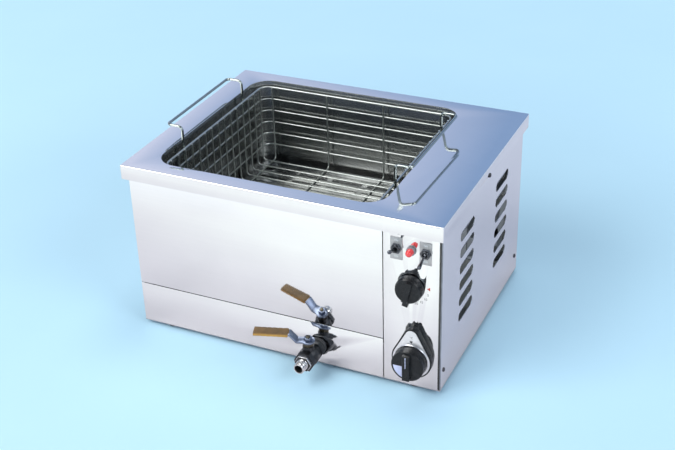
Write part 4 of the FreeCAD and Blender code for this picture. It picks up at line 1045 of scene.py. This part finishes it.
@dataclass
class WireBasket:
    """The lift-out basket: a thick rim, hoops, wires both ways and two raised handles, spot-welded."""

    tank_middle: Vector = field(default_factory=lambda: Vector((-36.0, 26.0, 0.0)))
    rim_z: float = 328.0
    upright_half: tuple[float, float] = (198.0, 187.0)
    hoop_half: tuple[float, float] = (201.0, 190.0)
    corner: float = 20.0
    wire: float = 1.5
    rim_wire: float = 2.0
    handle_wire: float = 2.5
    hoops: int = 5
    hoop_pitch: float = 25.0
    cross_wires: int = 15
    cross_pitch: float = 24.0
    cross_z: float = 174.5
    long_wires: int = 4
    long_pitch: float = 120.0
    long_z: float = 171.5
    handle_half: float = 112.0
    handle_low: float = 238.0
    handle_high: float = 369.0
    handle_reach: float = 30.0
    bend: float = 8.0

    def _ring(self, half: tuple[float, float], z: float) -> list[Vector]:
        """The four corners of a level ring of the basket."""
        return [self.tank_middle + Vector((sx * half[0], sy * half[1], z))
                for sx, sy in ((-1, -1), (1, -1), (1, 1), (-1, 1))]

    def build(self, wires: WireTool, beads: BeadTool) -> None:
        """Builds and dresses the basket.

        Args:
            wires: The tool that bends the wires.
            beads: The tool that lays the weld beads.
        """
        slot = "chrome_wire"
        reach = self.wire + self.rim_wire
        rim_half = (self.upright_half[0] + reach, self.upright_half[1] + reach)
        rim = wires.bend(self._ring(rim_half, self.rim_z), self.rim_wire, self.corner, slot, closed=True)
        Workshop.piece("basket_rim_wire", rim, "basket", slot, ["basket_rim"])
        first = self._ring(self.hoop_half, self.rim_z - self.hoop_pitch)
        hoops = wires.bend(first, self.wire, self.corner, slot, True, self.hoops, Vector((0, 0, -self.hoop_pitch)))
        Workshop.piece("basket_hoop_wires", hoops, "basket", slot, ["basket_hoops"])
        Workshop.piece("basket_side_wires", self._cross(wires), "basket", slot, ["basket_cross_wires"])
        Workshop.piece("basket_end_wires", self._long(wires), "basket", slot, ["basket_long_wires"])
        handles = Workshop.joined([self._handle(wires, side) for side in (-1, 1)], "handles")
        # the handles take the darker copy of the wire: painted shade
        Workshop.piece("basket_handle_wires", handles, "basket", slot, ["basket_handles"], Paint.ink("handle"))
        Workshop.piece("basket_welds", beads.lay(self._crossings(), 1.55, slot), "basket", slot)

    def _cross(self, wires: WireTool) -> bpy.types.Mesh:
        """The wires from side to side."""
        y = self.tank_middle.y - (self.cross_wires - 1) / 2 * self.cross_pitch
        left = self.tank_middle.x - self.upright_half[0]
        right = self.tank_middle.x + self.upright_half[0]
        corners = [Vector((left, y, self.rim_z)), Vector((left, y, self.cross_z)),
                   Vector((right, y, self.cross_z)), Vector((right, y, self.rim_z))]
        return wires.bend(corners, self.wire, self.bend, "chrome_wire", False, self.cross_wires,
                          Vector((0, self.cross_pitch, 0)))

    def _long(self, wires: WireTool) -> bpy.types.Mesh:
        """The wires from front to back."""
        x = self.tank_middle.x - (self.long_wires - 1) / 2 * self.long_pitch
        front = self.tank_middle.y - self.upright_half[1]
        back = self.tank_middle.y + self.upright_half[1]
        corners = [Vector((x, front, self.rim_z)), Vector((x, front, self.long_z)),
                   Vector((x, back, self.long_z)), Vector((x, back, self.rim_z))]
        return wires.bend(corners, self.wire, self.bend, "chrome_wire", False, self.long_wires,
                          Vector((self.long_pitch, 0, 0)))

    def _handle(self, wires: WireTool, side: int) -> bpy.types.Mesh:
        """One raised handle, on the given side."""
        leg = self.tank_middle.x + side * (self.upright_half[0] + self.wire + 2 * self.rim_wire + self.handle_wire)
        bar = leg + side * self.handle_reach
        front = self.tank_middle.y - self.handle_half
        back = self.tank_middle.y + self.handle_half
        high = self.handle_high
        corners = [Vector((leg, front, self.handle_low)), Vector((leg, front, high)), Vector((bar, front, high)),
                   Vector((bar, back, high)), Vector((leg, back, high)), Vector((leg, back, self.handle_low))]
        return wires.bend(corners, self.handle_wire, self.bend, "chrome_wire")

    def _crossings(self) -> list[Vector]:
        """Where wire meets wire."""
        places = []
        mid = self.tank_middle
        ys = [mid.y + (i - (self.cross_wires - 1) / 2) * self.cross_pitch for i in range(self.cross_wires)]
        xs = [mid.x + (i - (self.long_wires - 1) / 2) * self.long_pitch for i in range(self.long_wires)]
        levels = [self.rim_z - (i + 1) * self.hoop_pitch for i in range(self.hoops)]
        for y in ys:
            places += [Vector((x, y, (self.cross_z + self.long_z) / 2)) for x in xs]
            for side in (-1, 1):
                x = mid.x + side * (self.upright_half[0] + self.wire)
                places += [Vector((x, y, z)) for z in levels + [self.rim_z]]
        for x in xs:
            for side in (-1, 1):
                y = mid.y + side * (self.upright_half[1] + self.wire)
                places += [Vector((x, y, z)) for z in levels + [self.rim_z]]
        return places


@dataclass
class CaseShell:
    """The sheet-metal case: cover, panels, tank, guard and everything inside them."""

    broad: Sequence[str] = ("front_upper_panel", "front_lower_panel", "left_side_panel", "back_panel",
                            "base_pan", "guard_plate")
    inside: Sequence[str] = ("corner_posts", "partition_wall", "panel_rail", "heater_glands",
                             "sensor_gland", "contactor", "terminal_block", "feet", "panel_grommet")

    fold: float = 2.6
    strip_low: tuple[float, float, float] = (289.35, -191.7, 10.5)
    strip_high: tuple[float, float, float] = (292.3, -190.9, 310.5)

    def build(self) -> None:
        """Softens the sheets' edges and smooths the drawn forms; paints shade on the louvre flaps, the rail and the
        corner gap, and a glow on the partition wall.
        """
        for node in self.broad:
            Workshop.softened(node, 0.3)
        side = Workshop.softened("right_side_panel", 0.25, 1, 40.0, fold=self.fold)
        skin = max(v.co.x for v in side.data.vertices) - 0.05 * MM
        # painted shade: the louvre flaps just inside the right side's outer face take the darker steel
        Workshop.repaint(side, Paint.ink("pressed"),
                         lambda f: f.normal.x > 0.3 and skin - 30 * MM < f.center.x < skin)
        Workshop.softened("control_panel", 0.3)
        Workshop.softened("top_cover", 0.3, 2, 50.0)
        Workshop.softened("tank", 0.3, 2, 50.0)
        for node in self.inside:
            Workshop.softened(node, 0.4)
        # painted shade: the rail seen through the panel seam is painted near black
        bpy.data.objects["panel_rail_finished"].data.materials[0] = Paint.ink("shade")
        wall = bpy.data.objects["partition_wall_finished"]
        # painted glow: the partition wall's faces towards the right side glow, as light seen through the louvres
        Workshop.repaint(wall, Paint.ink("inner"), lambda f: f.normal.x > 0.9)
        self._painted_gap_shade()

    def _painted_gap_shade(self) -> None:
        """A near-black strip of painted shade over the gap between the control panel and the side's fold."""
        low, high = Vector(self.strip_low) * MM, Vector(self.strip_high) * MM
        strip = Workshop.block((low + high) / 2, high - low, 0.3, 3)
        # painted shade: a near-black block stands for the shade in the gap, not for a seal
        Workshop.piece("corner_sealing_strip", strip, "case", "rubber", material=Paint.ink("shade"))


@dataclass
class Fasteners:
    """The cross-recessed screws of the cover, the side panels and the feet."""

    half_x: float = 294.0
    cover_half_x: float = 300.0
    front_y: float = -192.0
    back_y: float = 244.0
    middle_y: float = 26.0

    def build(self, screws: ScrewTool) -> None:
        """Drives the screws.

        Args:
            screws: The tool that sets them.
        """
        black = Paint.ink("screw")
        cover = [(Vector((s * self.cover_half_x, self.middle_y, 320.0)), Vector((s, 0, 0))) for s in (-1, 1)]
        sides = [(Vector((s * self.half_x, y, 44.0)), Vector((s, 0, 0)))
                 for s in (-1, 1) for y in (self.front_y + 16.0, self.back_y - 16.0)]
        feet = [(Vector((x, y, 3.0)), Vector((0, 0, -1))) for x in (-243.0, 243.0)
                for y in (self.front_y + 20.0, self.back_y - 20.0)]
        for name, seats, length in (("cover_screws", cover, 14.0), ("side_screws", sides, 8.0),
                                    ("foot_screws", feet, 12.0)):
            mesh = screws.drive(seats, length, black)
            Workshop.piece(name + "_driven", mesh, "case", "polished_steel", [name], black)


@dataclass
class DrainValve:
    """The ball valve: cast body, stem, cranked lever with its sleeve, and the threaded spout."""

    x: float = 63.0
    y: float = -225.0
    z: float = 41.0
    tip_y: float = -266.0
    end_y: float = -244.0
    spout: float = 10.48
    bore: float = 7.5
    pitch: float = 1.81
    rest_turn: float = 17.0
    sleeve_end: float = 32.2
    sleeve_length: float = 62.0
    sleeve_width: float = 22.4
    sleeve_thick: float = 8.6
    sleeve_z: float = 88.5
    sleeve_round: float = 3.6
    sleeve_sections: int = 44
    sleeve_sides: int = 28
    grooves: int = 13
    groove_depth: float = 0.28

    def build(self, threads: ThreadTool) -> None:
        """Builds and dresses the valve.

        Args:
            threads: The tool that winds the spout's thread.
        """
        Workshop.softened("valve_body", 0.6, 3, 35.0)
        for node in ("stem_gland_nut", "valve_lever", "lever_nut", "valve_stem"):
            Workshop.softened(node, 0.4)
        self._sleeve()
        self._spout(threads)

    def _spout(self, threads: ThreadTool) -> None:
        """The outlet nipple with its thread and its hexagon collar."""
        root = self.spout - 0.95
        length = self.end_y - self.tip_y + 4.0
        profile = [(self.bore, length), (root - 0.5, length), (root, length - 0.6), (root, 0.0),
                   (self.bore, 0.0), (self.bore, length)]
        tube = Workshop.to_mesh(Workshop.lathe(profile, 56), "tube")
        turns = (length - 6.0) / self.pitch
        nipple = threads.run(tube, Radius=(root + 0.1) * MM, Turns=turns, Length=(length - 6.0) * MM,
                             Depth=0.85 * MM, Material=Paint.of("stainless_pipe"))
        nipple.transform(shifted(Vector((self.x, self.end_y + 4.0, self.z))))
        collar = bmesh.new()
        radius = 28.0 / math.sqrt(3)
        for y in (self.end_y - 6.0, self.end_y):
            ring = [collar.verts.new(Vector((self.x + radius * math.cos(math.radians(60 * i)), y,
                                             self.z + radius * math.sin(math.radians(60 * i)))) * MM)
                    for i in range(6)]
            collar.faces.new(ring)
        collar.verts.ensure_lookup_table()
        for i in range(6):
            j = (i + 1) % 6
            collar.faces.new([collar.verts[k] for k in (i, j, j + 6, i + 6)])
        bmesh.ops.recalc_face_normals(collar, faces=collar.faces)
        bmesh.ops.bevel(collar, geom=collar.edges[:], offset=0.7 * MM, segments=3, affect="EDGES")
        whole = Workshop.joined([nipple, Workshop.to_mesh(collar, "collar")], "spout")
        Workshop.shade(whole, 40.0)
        spout = Workshop.piece("threaded_spout", whole, "case", "stainless_pipe", ["valve_spout"])
        # painted shade: the bore's inner faces are painted near black
        axis = Vector((self.x, 0, self.z)) * MM
        Workshop.repaint(spout, Paint.ink("shade"), lambda f: math.hypot(
            f.center.x - axis.x, f.center.z - axis.z) < (self.bore + 0.1) * MM)

    def _sleeve(self) -> None:
        """The dipped sleeve: a fat rounded tube with a few shallow finger grooves."""
        shape = bmesh.new()
        rings = []
        for i in range(self.sleeve_sections + 1):
            along = i / self.sleeve_sections
            reach = self.sleeve_end + self.sleeve_length * along
            edge = min(along, 1 - along) * self.sleeve_length
            near = 1 - min(edge / self.sleeve_round, 1.0)
            close = math.sqrt(max(0.0, 1 - near ** 2)) if along < 0.5 else 1.0
            wave = max(0.0, math.sin(along * math.pi * self.grooves))
            groove = self.groove_depth * wave if 0.15 < along < 0.85 else 0.0
            half_y = (self.sleeve_width / 2 - groove) * max(close, 0.02)
            half_z = (self.sleeve_thick / 2 - groove) * max(close, 0.02)
            ring = []
            for j in range(self.sleeve_sides):
                turn = 2 * math.pi * j / self.sleeve_sides
                c, d = math.cos(turn), math.sin(turn)
                y = half_y * math.copysign(abs(c) ** 0.62, c)
                z = half_z * math.copysign(abs(d) ** 0.72, d)
                ring.append(shape.verts.new(Vector((-reach, y, self.sleeve_z + z)) * MM))
            rings.append(ring)
        for low, high in zip(rings, rings[1:]):
            for j in range(self.sleeve_sides):
                k = (j + 1) % self.sleeve_sides
                shape.faces.new((low[j], low[k], high[k], high[j]))
        shape.faces.new(rings[0])
        shape.faces.new(rings[-1])
        bmesh.ops.recalc_face_normals(shape, faces=shape.faces)
        turn = shifted(Vector((self.x, self.y, 0))) @ rotated(self.rest_turn, "Z")
        mesh = Workshop.to_mesh(shape, "sleeve", turn)
        Workshop.shade(mesh, 50.0)
        Workshop.piece("dipped_sleeve", mesh, "valve_lever_set", "sleeve_orange", ["lever_sleeve"])


@dataclass
class ToggleSwitches:
    """The two toggle switches, with marked plates, nuts and bat-shaped levers."""

    xs: tuple[float, float] = (214.5, 265.5)
    z: float = 276.0
    front_y: float = -192.0
    pivot: float = 3.5
    throw: float = 18.0
    word_rise: float = 15.0

    def build(self, threads: ThreadTool) -> None:
        """Builds and dresses the switches.

        Args:
            threads: The tool that winds the bushes' threads.
        """
        Workshop.softened("switch_plates", 0.3, 3)
        Workshop.softened("switch_nuts", 0.4)
        Workshop.softened("switch_bodies", 0.3)
        for i, (x, side, tilt) in enumerate(zip(self.xs, ("left", "right"), (self.throw, -self.throw))):
            self._bat(x, side + "_toggle", side + "_switch", tilt)
            self._words(x, i)
        self._bush_threads(threads)

    def _bat(self, x: float, node: str, body: str, tilt: float) -> None:
        """One lever with a waisted neck and a rounded tip."""
        profile = [(0.0, -3.4), (1.9, -2.8), (3.0, -1.6), (3.4, 0.0), (3.0, 1.7), (2.1, 2.8), (1.75, 4.5),
                   (1.8, 8.0), (2.1, 14.0), (2.7, 20.5), (3.25, 25.0), (3.4, 27.6), (3.2, 29.3), (2.4, 30.5),
                   (1.2, 30.95), (0.0, 31.0)]
        place = shifted(Vector((x, self.front_y - self.pivot, self.z))) @ rotated(-tilt, "X")
        bat = Workshop.to_mesh(Workshop.lathe(profile, 32), "bat", place)
        pins = bmesh.new()
        bmesh.ops.create_cone(pins, cap_ends=True, segments=16, radius1=0.95 * MM, radius2=0.95 * MM,
                              depth=10.8 * MM, matrix=place @ rotated(90, "Y"))
        mesh = Workshop.joined([bat, Workshop.to_mesh(pins, "pins")], node + "_mesh")
        Workshop.shade(mesh, 40.0)
        Workshop.piece(node + "_bat", mesh, body, "switch_metal", [node])

    def _words(self, x: float, number: int) -> None:
        """The plate's two words, above and below the nut."""
        face = self.front_y - 1.0
        words = [Workshop.words(text, 3.2, Vector((x, face, self.z + rise)))
                 for text, rise in (("ON", self.word_rise), ("OFF", -self.word_rise))]
        Workshop.piece(f"switch_words_{number}", Workshop.joined(words, "words"), "case", "switch_plate",
                       material=Paint.ink("white"))

    def _bush_threads(self, threads: ThreadTool) -> None:
        """The fine thread on each switch's bush."""
        rings = []
        for x in self.xs:
            seed = bmesh.new()
            seed.verts.new((0, 0, 0))
            turns = threads.run(Workshop.to_mesh(seed, "seed"), Radius=6.38 * MM, Turns=4.0, Length=3.0 * MM,
                                Depth=0.3 * MM, Material=Paint.of("switch_metal"))
            turns.transform(shifted(Vector((x, self.front_y - 2.8, self.z))))
            rings.append(turns)
        Workshop.piece("switch_bush_threads", Workshop.joined(rings, "threads"), "case", "switch_metal")


@dataclass
class PilotLamp:
    """The red pilot lamp in its bezel."""

    centre: Vector = field(default_factory=lambda: Vector((240.0, -195.0, 276.0)))

    def build(self, ribs: RibTool) -> None:
        """Builds and dresses the lamp.

        Args:
            ribs: The tool that makes the lens's ribs.
        """
        Workshop.softened("lamp_bezel", 0.4, 3)
        profile = [(0.0, 12.0), (2.2, 11.75), (4.0, 10.9), (5.2, 9.4), (5.7, 7.6), (5.7, 1.2), (6.0, 1.0),
                   (6.0, 0.0), (0.0, 0.0)]
        dome = Workshop.to_mesh(Workshop.lathe(profile, 40), "dome", shifted(self.centre))
        flutes = ribs.ring(24, 5.6, 0.34, 6.0, self.centre + Vector((0, -4.4, 0)), Paint.of("lamp_red"))
        mesh = Workshop.joined([dome, flutes], "lens")
        Workshop.shade(mesh, 35.0)
        Workshop.piece("lamp_dome", mesh, "case", "lamp_red", ["lamp_lens"])


@dataclass
class TimerControl:
    """The timer knob with its nose and grip, and the marks on the panel beside it."""

    centre: Vector = field(default_factory=lambda: Vector((240.0, -192.0, 207.0)))
    cad_skirt: float = 21.5
    skirt: float = 24.0
    first_mark: float = 107.0
    mark_step: float = 18.5
    mark_ring: float = 31.5

    def build(self, ribs: RibTool) -> None:
        """Builds and dresses the timer control.

        Args:
            ribs: The tool that makes the skirt's ribs.
        """
        grown = self.skirt / self.cad_skirt
        middle = shifted(self.centre)
        knob = Workshop.softened("timer_knob", 0.8, 4, 35.0)
        knob.data.transform(middle @ Matrix.Diagonal((grown, 1.0, grown, 1.0)) @ middle.inverted())
        for node in ("timer_case", "timer_shaft"):
            Workshop.softened(node, 0.3)
        ribs.grip("timer_knob_ribs", "timer", 44, self.skirt - 1.0, 0.62, 10.0,
                  self.centre + Vector((0, -8.2, 0)))
        self._marks()

    def _marks(self) -> None:
        """The red start mark and the black minute marks on the panel."""
        red = Workshop.words("◄", 5.4, self.centre + Vector((31.0, 0, 2.5)))
        Workshop.piece("timer_start_mark", red, "case", "polished_steel", material=Paint.ink("red"))
        numbers = []
        for i, text in enumerate(("5", "10", "15", "20")):
            turn = math.radians(self.first_mark + i * self.mark_step)
            reach = Vector((math.sin(turn), 0, math.cos(turn))) * self.mark_ring
            numbers.append(Workshop.words(text, 4.6, self.centre + reach))
        Workshop.piece("timer_minute_marks", Workshop.joined(numbers, "numbers"), "case", "polished_steel",
                       material=Paint.ink("black"))


@dataclass
class ThermostatControl:
    """The thermostat's bezel, faceplate, bright ring and large knob."""

    centre: Vector = field(default_factory=lambda: Vector((246.0, -204.8, 69.0)))
    knob: float = 29.0
    index_rise: float = 36.5
    unit_rise: float = 46.0
    face_reach: float = 28.0
    pointer_rise: float = 12.5

    def build(self, ribs: RibTool) -> None:
        """Builds and dresses the thermostat control.

        Args:
            ribs: The tool that makes the knob's ribs.
        """
        Workshop.softened("thermostat_bezel", 0.9, 4, 35.0)
        Workshop.softened("thermostat_faceplate", 0.15)
        Workshop.softened("thermostat_ring", 0.3, 3)
        Workshop.softened("thermostat_knob", 0.7, 4, 35.0)
        # the knob_inlay node is a pale patch that stands for a highlight on the knob: a painted highlight
        for node in ("thermostat_case", "thermostat_shaft", "knob_inlay", "cable_gland"):
            Workshop.softened(node, 0.12 if node == "knob_inlay" else 0.4)
        ribs.grip("thermostat_knob_ribs", "thermostat", 72, self.knob - 0.35, 0.4, 13.0,
                  self.centre + Vector((0, -9.0, 0)))
        self._marks()

    def _marks(self) -> None:
        """The index triangle and the unit sign on the faceplate, and the pale line on the knob."""
        marks = [Workshop.words("▼", 5.0, self.centre + Vector((0, 0, self.index_rise))),
                 Workshop.words("°C", 4.0, self.centre + Vector((0, 0, self.unit_rise)))]
        Workshop.piece("thermostat_index", Workshop.joined(marks, "marks"), "case", "faceplate_silver",
                       material=Paint.ink("black"))
        middle = (self.centre + Vector((0, -self.face_reach, self.pointer_rise))) * MM
        line = Workshop.block(middle, (1.2 * MM, 0.24 * MM, 22.0 * MM), 0.09, 2)
        Workshop.piece("thermostat_pointer", line, "thermostat", "inlay_pale")


@dataclass
class CableEntry:
    """The ribbed dome nut of the cable gland at the back."""

    centre: Vector = field(default_factory=lambda: Vector((240.0, 255.0, 68.0)))

    def build(self, ribs: RibTool) -> None:
        """Builds the grip ribs round the gland.

        Args:
            ribs: The tool that makes the ribs.
        """
        ribs.grip("cable_gland_ribs", "case", 28, 10.9, 0.7, 10.0, self.centre)


@dataclass
class Studio:
    """The pale floor, the soft lamps, the surroundings and the camera."""

    camera_place: tuple[float, float, float] = (0.8494, -1.7636, 1.2851)
    azimuth: float = 25.19
    elevation: float = 29.64
    roll: float = -1.69
    lens: float = 64.78

    def build(self) -> None:
        """Sets the studio up."""
        scene = bpy.context.scene
        scene.view_settings.view_transform = "Standard"
        self._camera(scene)
        self._floor()
        self._backdrop()
        self._world(scene)
        self._lamp("key", (-1.6, -2.2, 2.8), (0.0, -0.5, 0.0), 2.4, 108.0, (1.0, 0.99, 0.97))
        self._lamp("fill", (2.6, -0.9, 2.2), (0.2, 0.0, 0.1), 1.8, 40.0, (0.95, 0.97, 1.0))
        self._lamp("top", (0.2, 0.7, 3.4), (0.0, 0.1, 0.2), 1.2, 30.0, (0.97, 0.98, 1.0))

    def _camera(self, scene: bpy.types.Scene) -> None:
        """Places the camera where the photograph was taken from."""
        az, el, roll = (math.radians(a) for a in (self.azimuth, self.elevation, self.roll))
        back = Vector((math.sin(az) * math.cos(el), -math.cos(az) * math.cos(el), math.sin(el)))
        right = Vector((math.cos(az), math.sin(az), 0.0))
        up = back.cross(right)
        turned = right * math.cos(roll) + up * math.sin(roll)
        above = up * math.cos(roll) - right * math.sin(roll)
        data = bpy.data.cameras.new("camera")
        data.lens = self.lens
        data.sensor_width = 36.0
        data.sensor_fit = "HORIZONTAL"
        camera = linked("camera", data)
        place = Matrix((turned, above, back)).transposed().to_4x4()
        place.translation = self.camera_place
        camera.matrix_world = place
        scene.camera = camera

    @staticmethod
    def _plane(name: str, width: float, height: float, place: Matrix) -> tuple[bpy.types.Object, Graph]:
        """A flat stage piece with an empty material.

        Args:
            name: Its name.
            width: Its width in metres.
            height: Its height in metres.
            place: Where it stands.

        Returns:
            The piece and its material's graph.
        """
        shape = bmesh.new()
        bmesh.ops.create_grid(shape, x_segments=1, y_segments=1, size=0.5)
        shape.transform(place @ Matrix.Diagonal((width, height, 1.0, 1.0)))
        plane = linked(name, Workshop.to_mesh(shape, name))
        material = bpy.data.materials.new(name)
        material.use_nodes = True
        plane.data.materials.append(material)
        return plane, Graph(material.node_tree)

    def _floor(self) -> None:
        """A wide pale blue floor that keeps the shadow, glows far off and mirrors as white paper, with painted
        shade in what it mirrors: darker close to the case's front and to the left, bluish grey at the right beside
        the case.
        """
        plane, graph = self._plane("floor", 28.0, 28.0, Matrix.Identity(4))
        place = graph.add("ShaderNodeTexCoord").outputs["Object"]
        axes = graph.add("ShaderNodeSeparateXYZ", {0: place})
        mottle = EFFECTS.use(graph, EFFECTS.clouds, Vector=place, Stretch=(3.0, 3.0, 3.0), Contrast=1.0)
        seen = graph.blend(mottle, (0.47, 0.72, 0.87), (0.50, 0.75, 0.90))
        # painted shade in the mirrored floor: darker lavender close to the case's front and towards the left
        near = graph.spread(axes.outputs[1], 0.0, 1.0, -0.24, -0.62)
        left = graph.spread(axes.outputs[0], 0.55, 1.0, -0.6, 0.0)
        paper = graph.blend(graph.maths("MULTIPLY", near, left), (0.70, 0.68, 0.72), (0.94, 0.96, 0.93))
        # painted shadow in the mirrored floor: bluish grey at the right beside and behind the case
        side = graph.spread(axes.outputs[0], 0.0, 1.0, 0.28, 0.34)
        behind = graph.spread(axes.outputs[1], 0.0, 1.0, -0.35, -0.15)
        paper = graph.blend(graph.maths("MULTIPLY", side, behind), paper, (0.66, 0.69, 0.80))
        rays = graph.add("ShaderNodeLightPath")
        shader = graph.tree.nodes["Principled BSDF"]
        graph.feed(shader.inputs["Base Color"], graph.blend(rays.outputs["Is Glossy Ray"], seen, paper))
        shader.inputs["Roughness"].default_value = 0.9
        shader.inputs["Specular IOR Level"].default_value = 0.1
        reach = graph.add("ShaderNodeVectorMath", {0: place}, operation="LENGTH").outputs["Value"]
        graph.feed(shader.inputs["Emission Color"], seen)
        lift = graph.maths("MULTIPLY", graph.spread(reach, 0.0, 0.14, 0.35, 1.3),
                           graph.spread(axes.outputs[1], 0.0, 1.0, -0.5, 0.2))
        lift = graph.maths("MULTIPLY", lift, rays.outputs["Is Camera Ray"])
        glow = graph.maths("ADD", graph.spread(reach, 0.0, 0.85, 0.9, 5.0), lift)
        graph.feed(shader.inputs["Emission Strength"], glow)

    def _backdrop(self) -> None:
        """A tall screen behind, which only the cover mirrors: lavender at the left, blue at the right."""
        stand = Matrix.Translation((-1.9, 4.0, 2.6)) @ rotated(90, "X")
        plane, graph = self._plane("backdrop", 8.0, 4.4, stand)
        place = graph.add("ShaderNodeTexCoord").outputs["Object"]
        axes = graph.add("ShaderNodeSeparateXYZ", {0: place})
        across = graph.spread(axes.outputs[0], 0.0, 1.0, -3.4, -0.8)
        cloud = EFFECTS.use(graph, EFFECTS.clouds, Vector=place, Stretch=(0.7, 0.7, 0.7), Contrast=0.6)
        amount = graph.maths("ADD", across, graph.maths("MULTIPLY", graph.maths("SUBTRACT", cloud, 0.5), 0.3),
                             clamp=True)
        shader = graph.tree.nodes["Principled BSDF"]
        shader.inputs["Base Color"].default_value = (0.0, 0.0, 0.0, 1.0)
        shader.inputs["Specular IOR Level"].default_value = 0.0
        graph.feed(shader.inputs["Emission Color"], graph.blend(amount, (0.70, 0.75, 0.96), (0.27, 0.40, 0.66)))
        shader.inputs["Emission Strength"].default_value = 1.0
        plane.visible_camera = False
        plane.visible_shadow = False
        plane.visible_diffuse = False

    def _world(self, scene: bpy.types.Scene) -> None:
        """A soft blue surround that is dark overhead, and a pale one for the camera."""
        world = bpy.data.worlds.new("surround")
        world.use_nodes = True
        graph = Graph(world.node_tree)
        rays = graph.add("ShaderNodeLightPath")
        place = graph.add("ShaderNodeTexCoord").outputs["Generated"]
        height = graph.add("ShaderNodeSeparateXYZ", {0: place}).outputs[2]
        sky = graph.blend(graph.spread(height, 0.0, 1.0, 0.35, 0.8), (0.52, 0.60, 0.74), (0.10, 0.11, 0.12))
        colour = graph.blend(rays.outputs["Is Camera Ray"], sky, (0.56, 0.79, 0.93))
        back = world.node_tree.nodes["Background"]
        graph.feed(back.inputs["Color"], colour)
        back.inputs["Strength"].default_value = 1.0
        scene.world = world

    def _lamp(self, name: str, place: Sequence[float], aim: Sequence[float], size: float, power: float,
              colour: Colour) -> None:
        """One soft square lamp.

        Args:
            name: The lamp's name.
            place: Where it stands, in metres.
            aim: What it points at.
            size: Its side in metres.
            power: Its power in watts.
            colour: Its colour.
        """
        data = bpy.data.lights.new(name, "AREA")
        data.shape = "SQUARE"
        data.size = size
        data.energy = power
        data.color = colour
        lamp = linked(name, data)
        lamp.location = place
        lamp.rotation_euler = (Vector(aim) - Vector(place)).to_track_quat("-Z", "Y").to_euler()


def paint_frame() -> None:
    """Gives every CAD node its slot's material, also those that a piece replaces."""
    slots = {s["node"]: s["material_slot"] for s in frame["record"]["subparts"]}
    for name, node in frame["nodes"].items():
        for holder in node.material_slots:
            holder.material = Paint.of(slots[name])
        if not node.material_slots:
            node.data.materials.append(Paint.of(slots[name]))


def main() -> None:
    """Builds every sub-assembly in order, then the studio."""
    logging.basicConfig(level=logging.INFO, format="%(name)s: %(message)s")
    wires, beads, threads, ribs, screws = WireTool(), BeadTool(), ThreadTool(), RibTool(), ScrewTool()
    steps: list[tuple[str, Callable[[], None]]] = [
        ("frame finishes", paint_frame),
        ("case", CaseShell().build),
        ("basket", lambda: WireBasket().build(wires, beads)),
        ("fasteners", lambda: Fasteners().build(screws)),
        ("drain valve", lambda: DrainValve().build(threads)),
        ("switches", lambda: ToggleSwitches().build(threads)),
        ("pilot lamp", lambda: PilotLamp().build(ribs)),
        ("timer", lambda: TimerControl().build(ribs)),
        ("thermostat", lambda: ThermostatControl().build(ribs)),
        ("cable entry", lambda: CableEntry().build(ribs)),
        ("studio", Studio().build),
    ]
    for name, step in steps:
        log.info("building the %s", name)
        step()


if __name__ == "__main__":
    main()
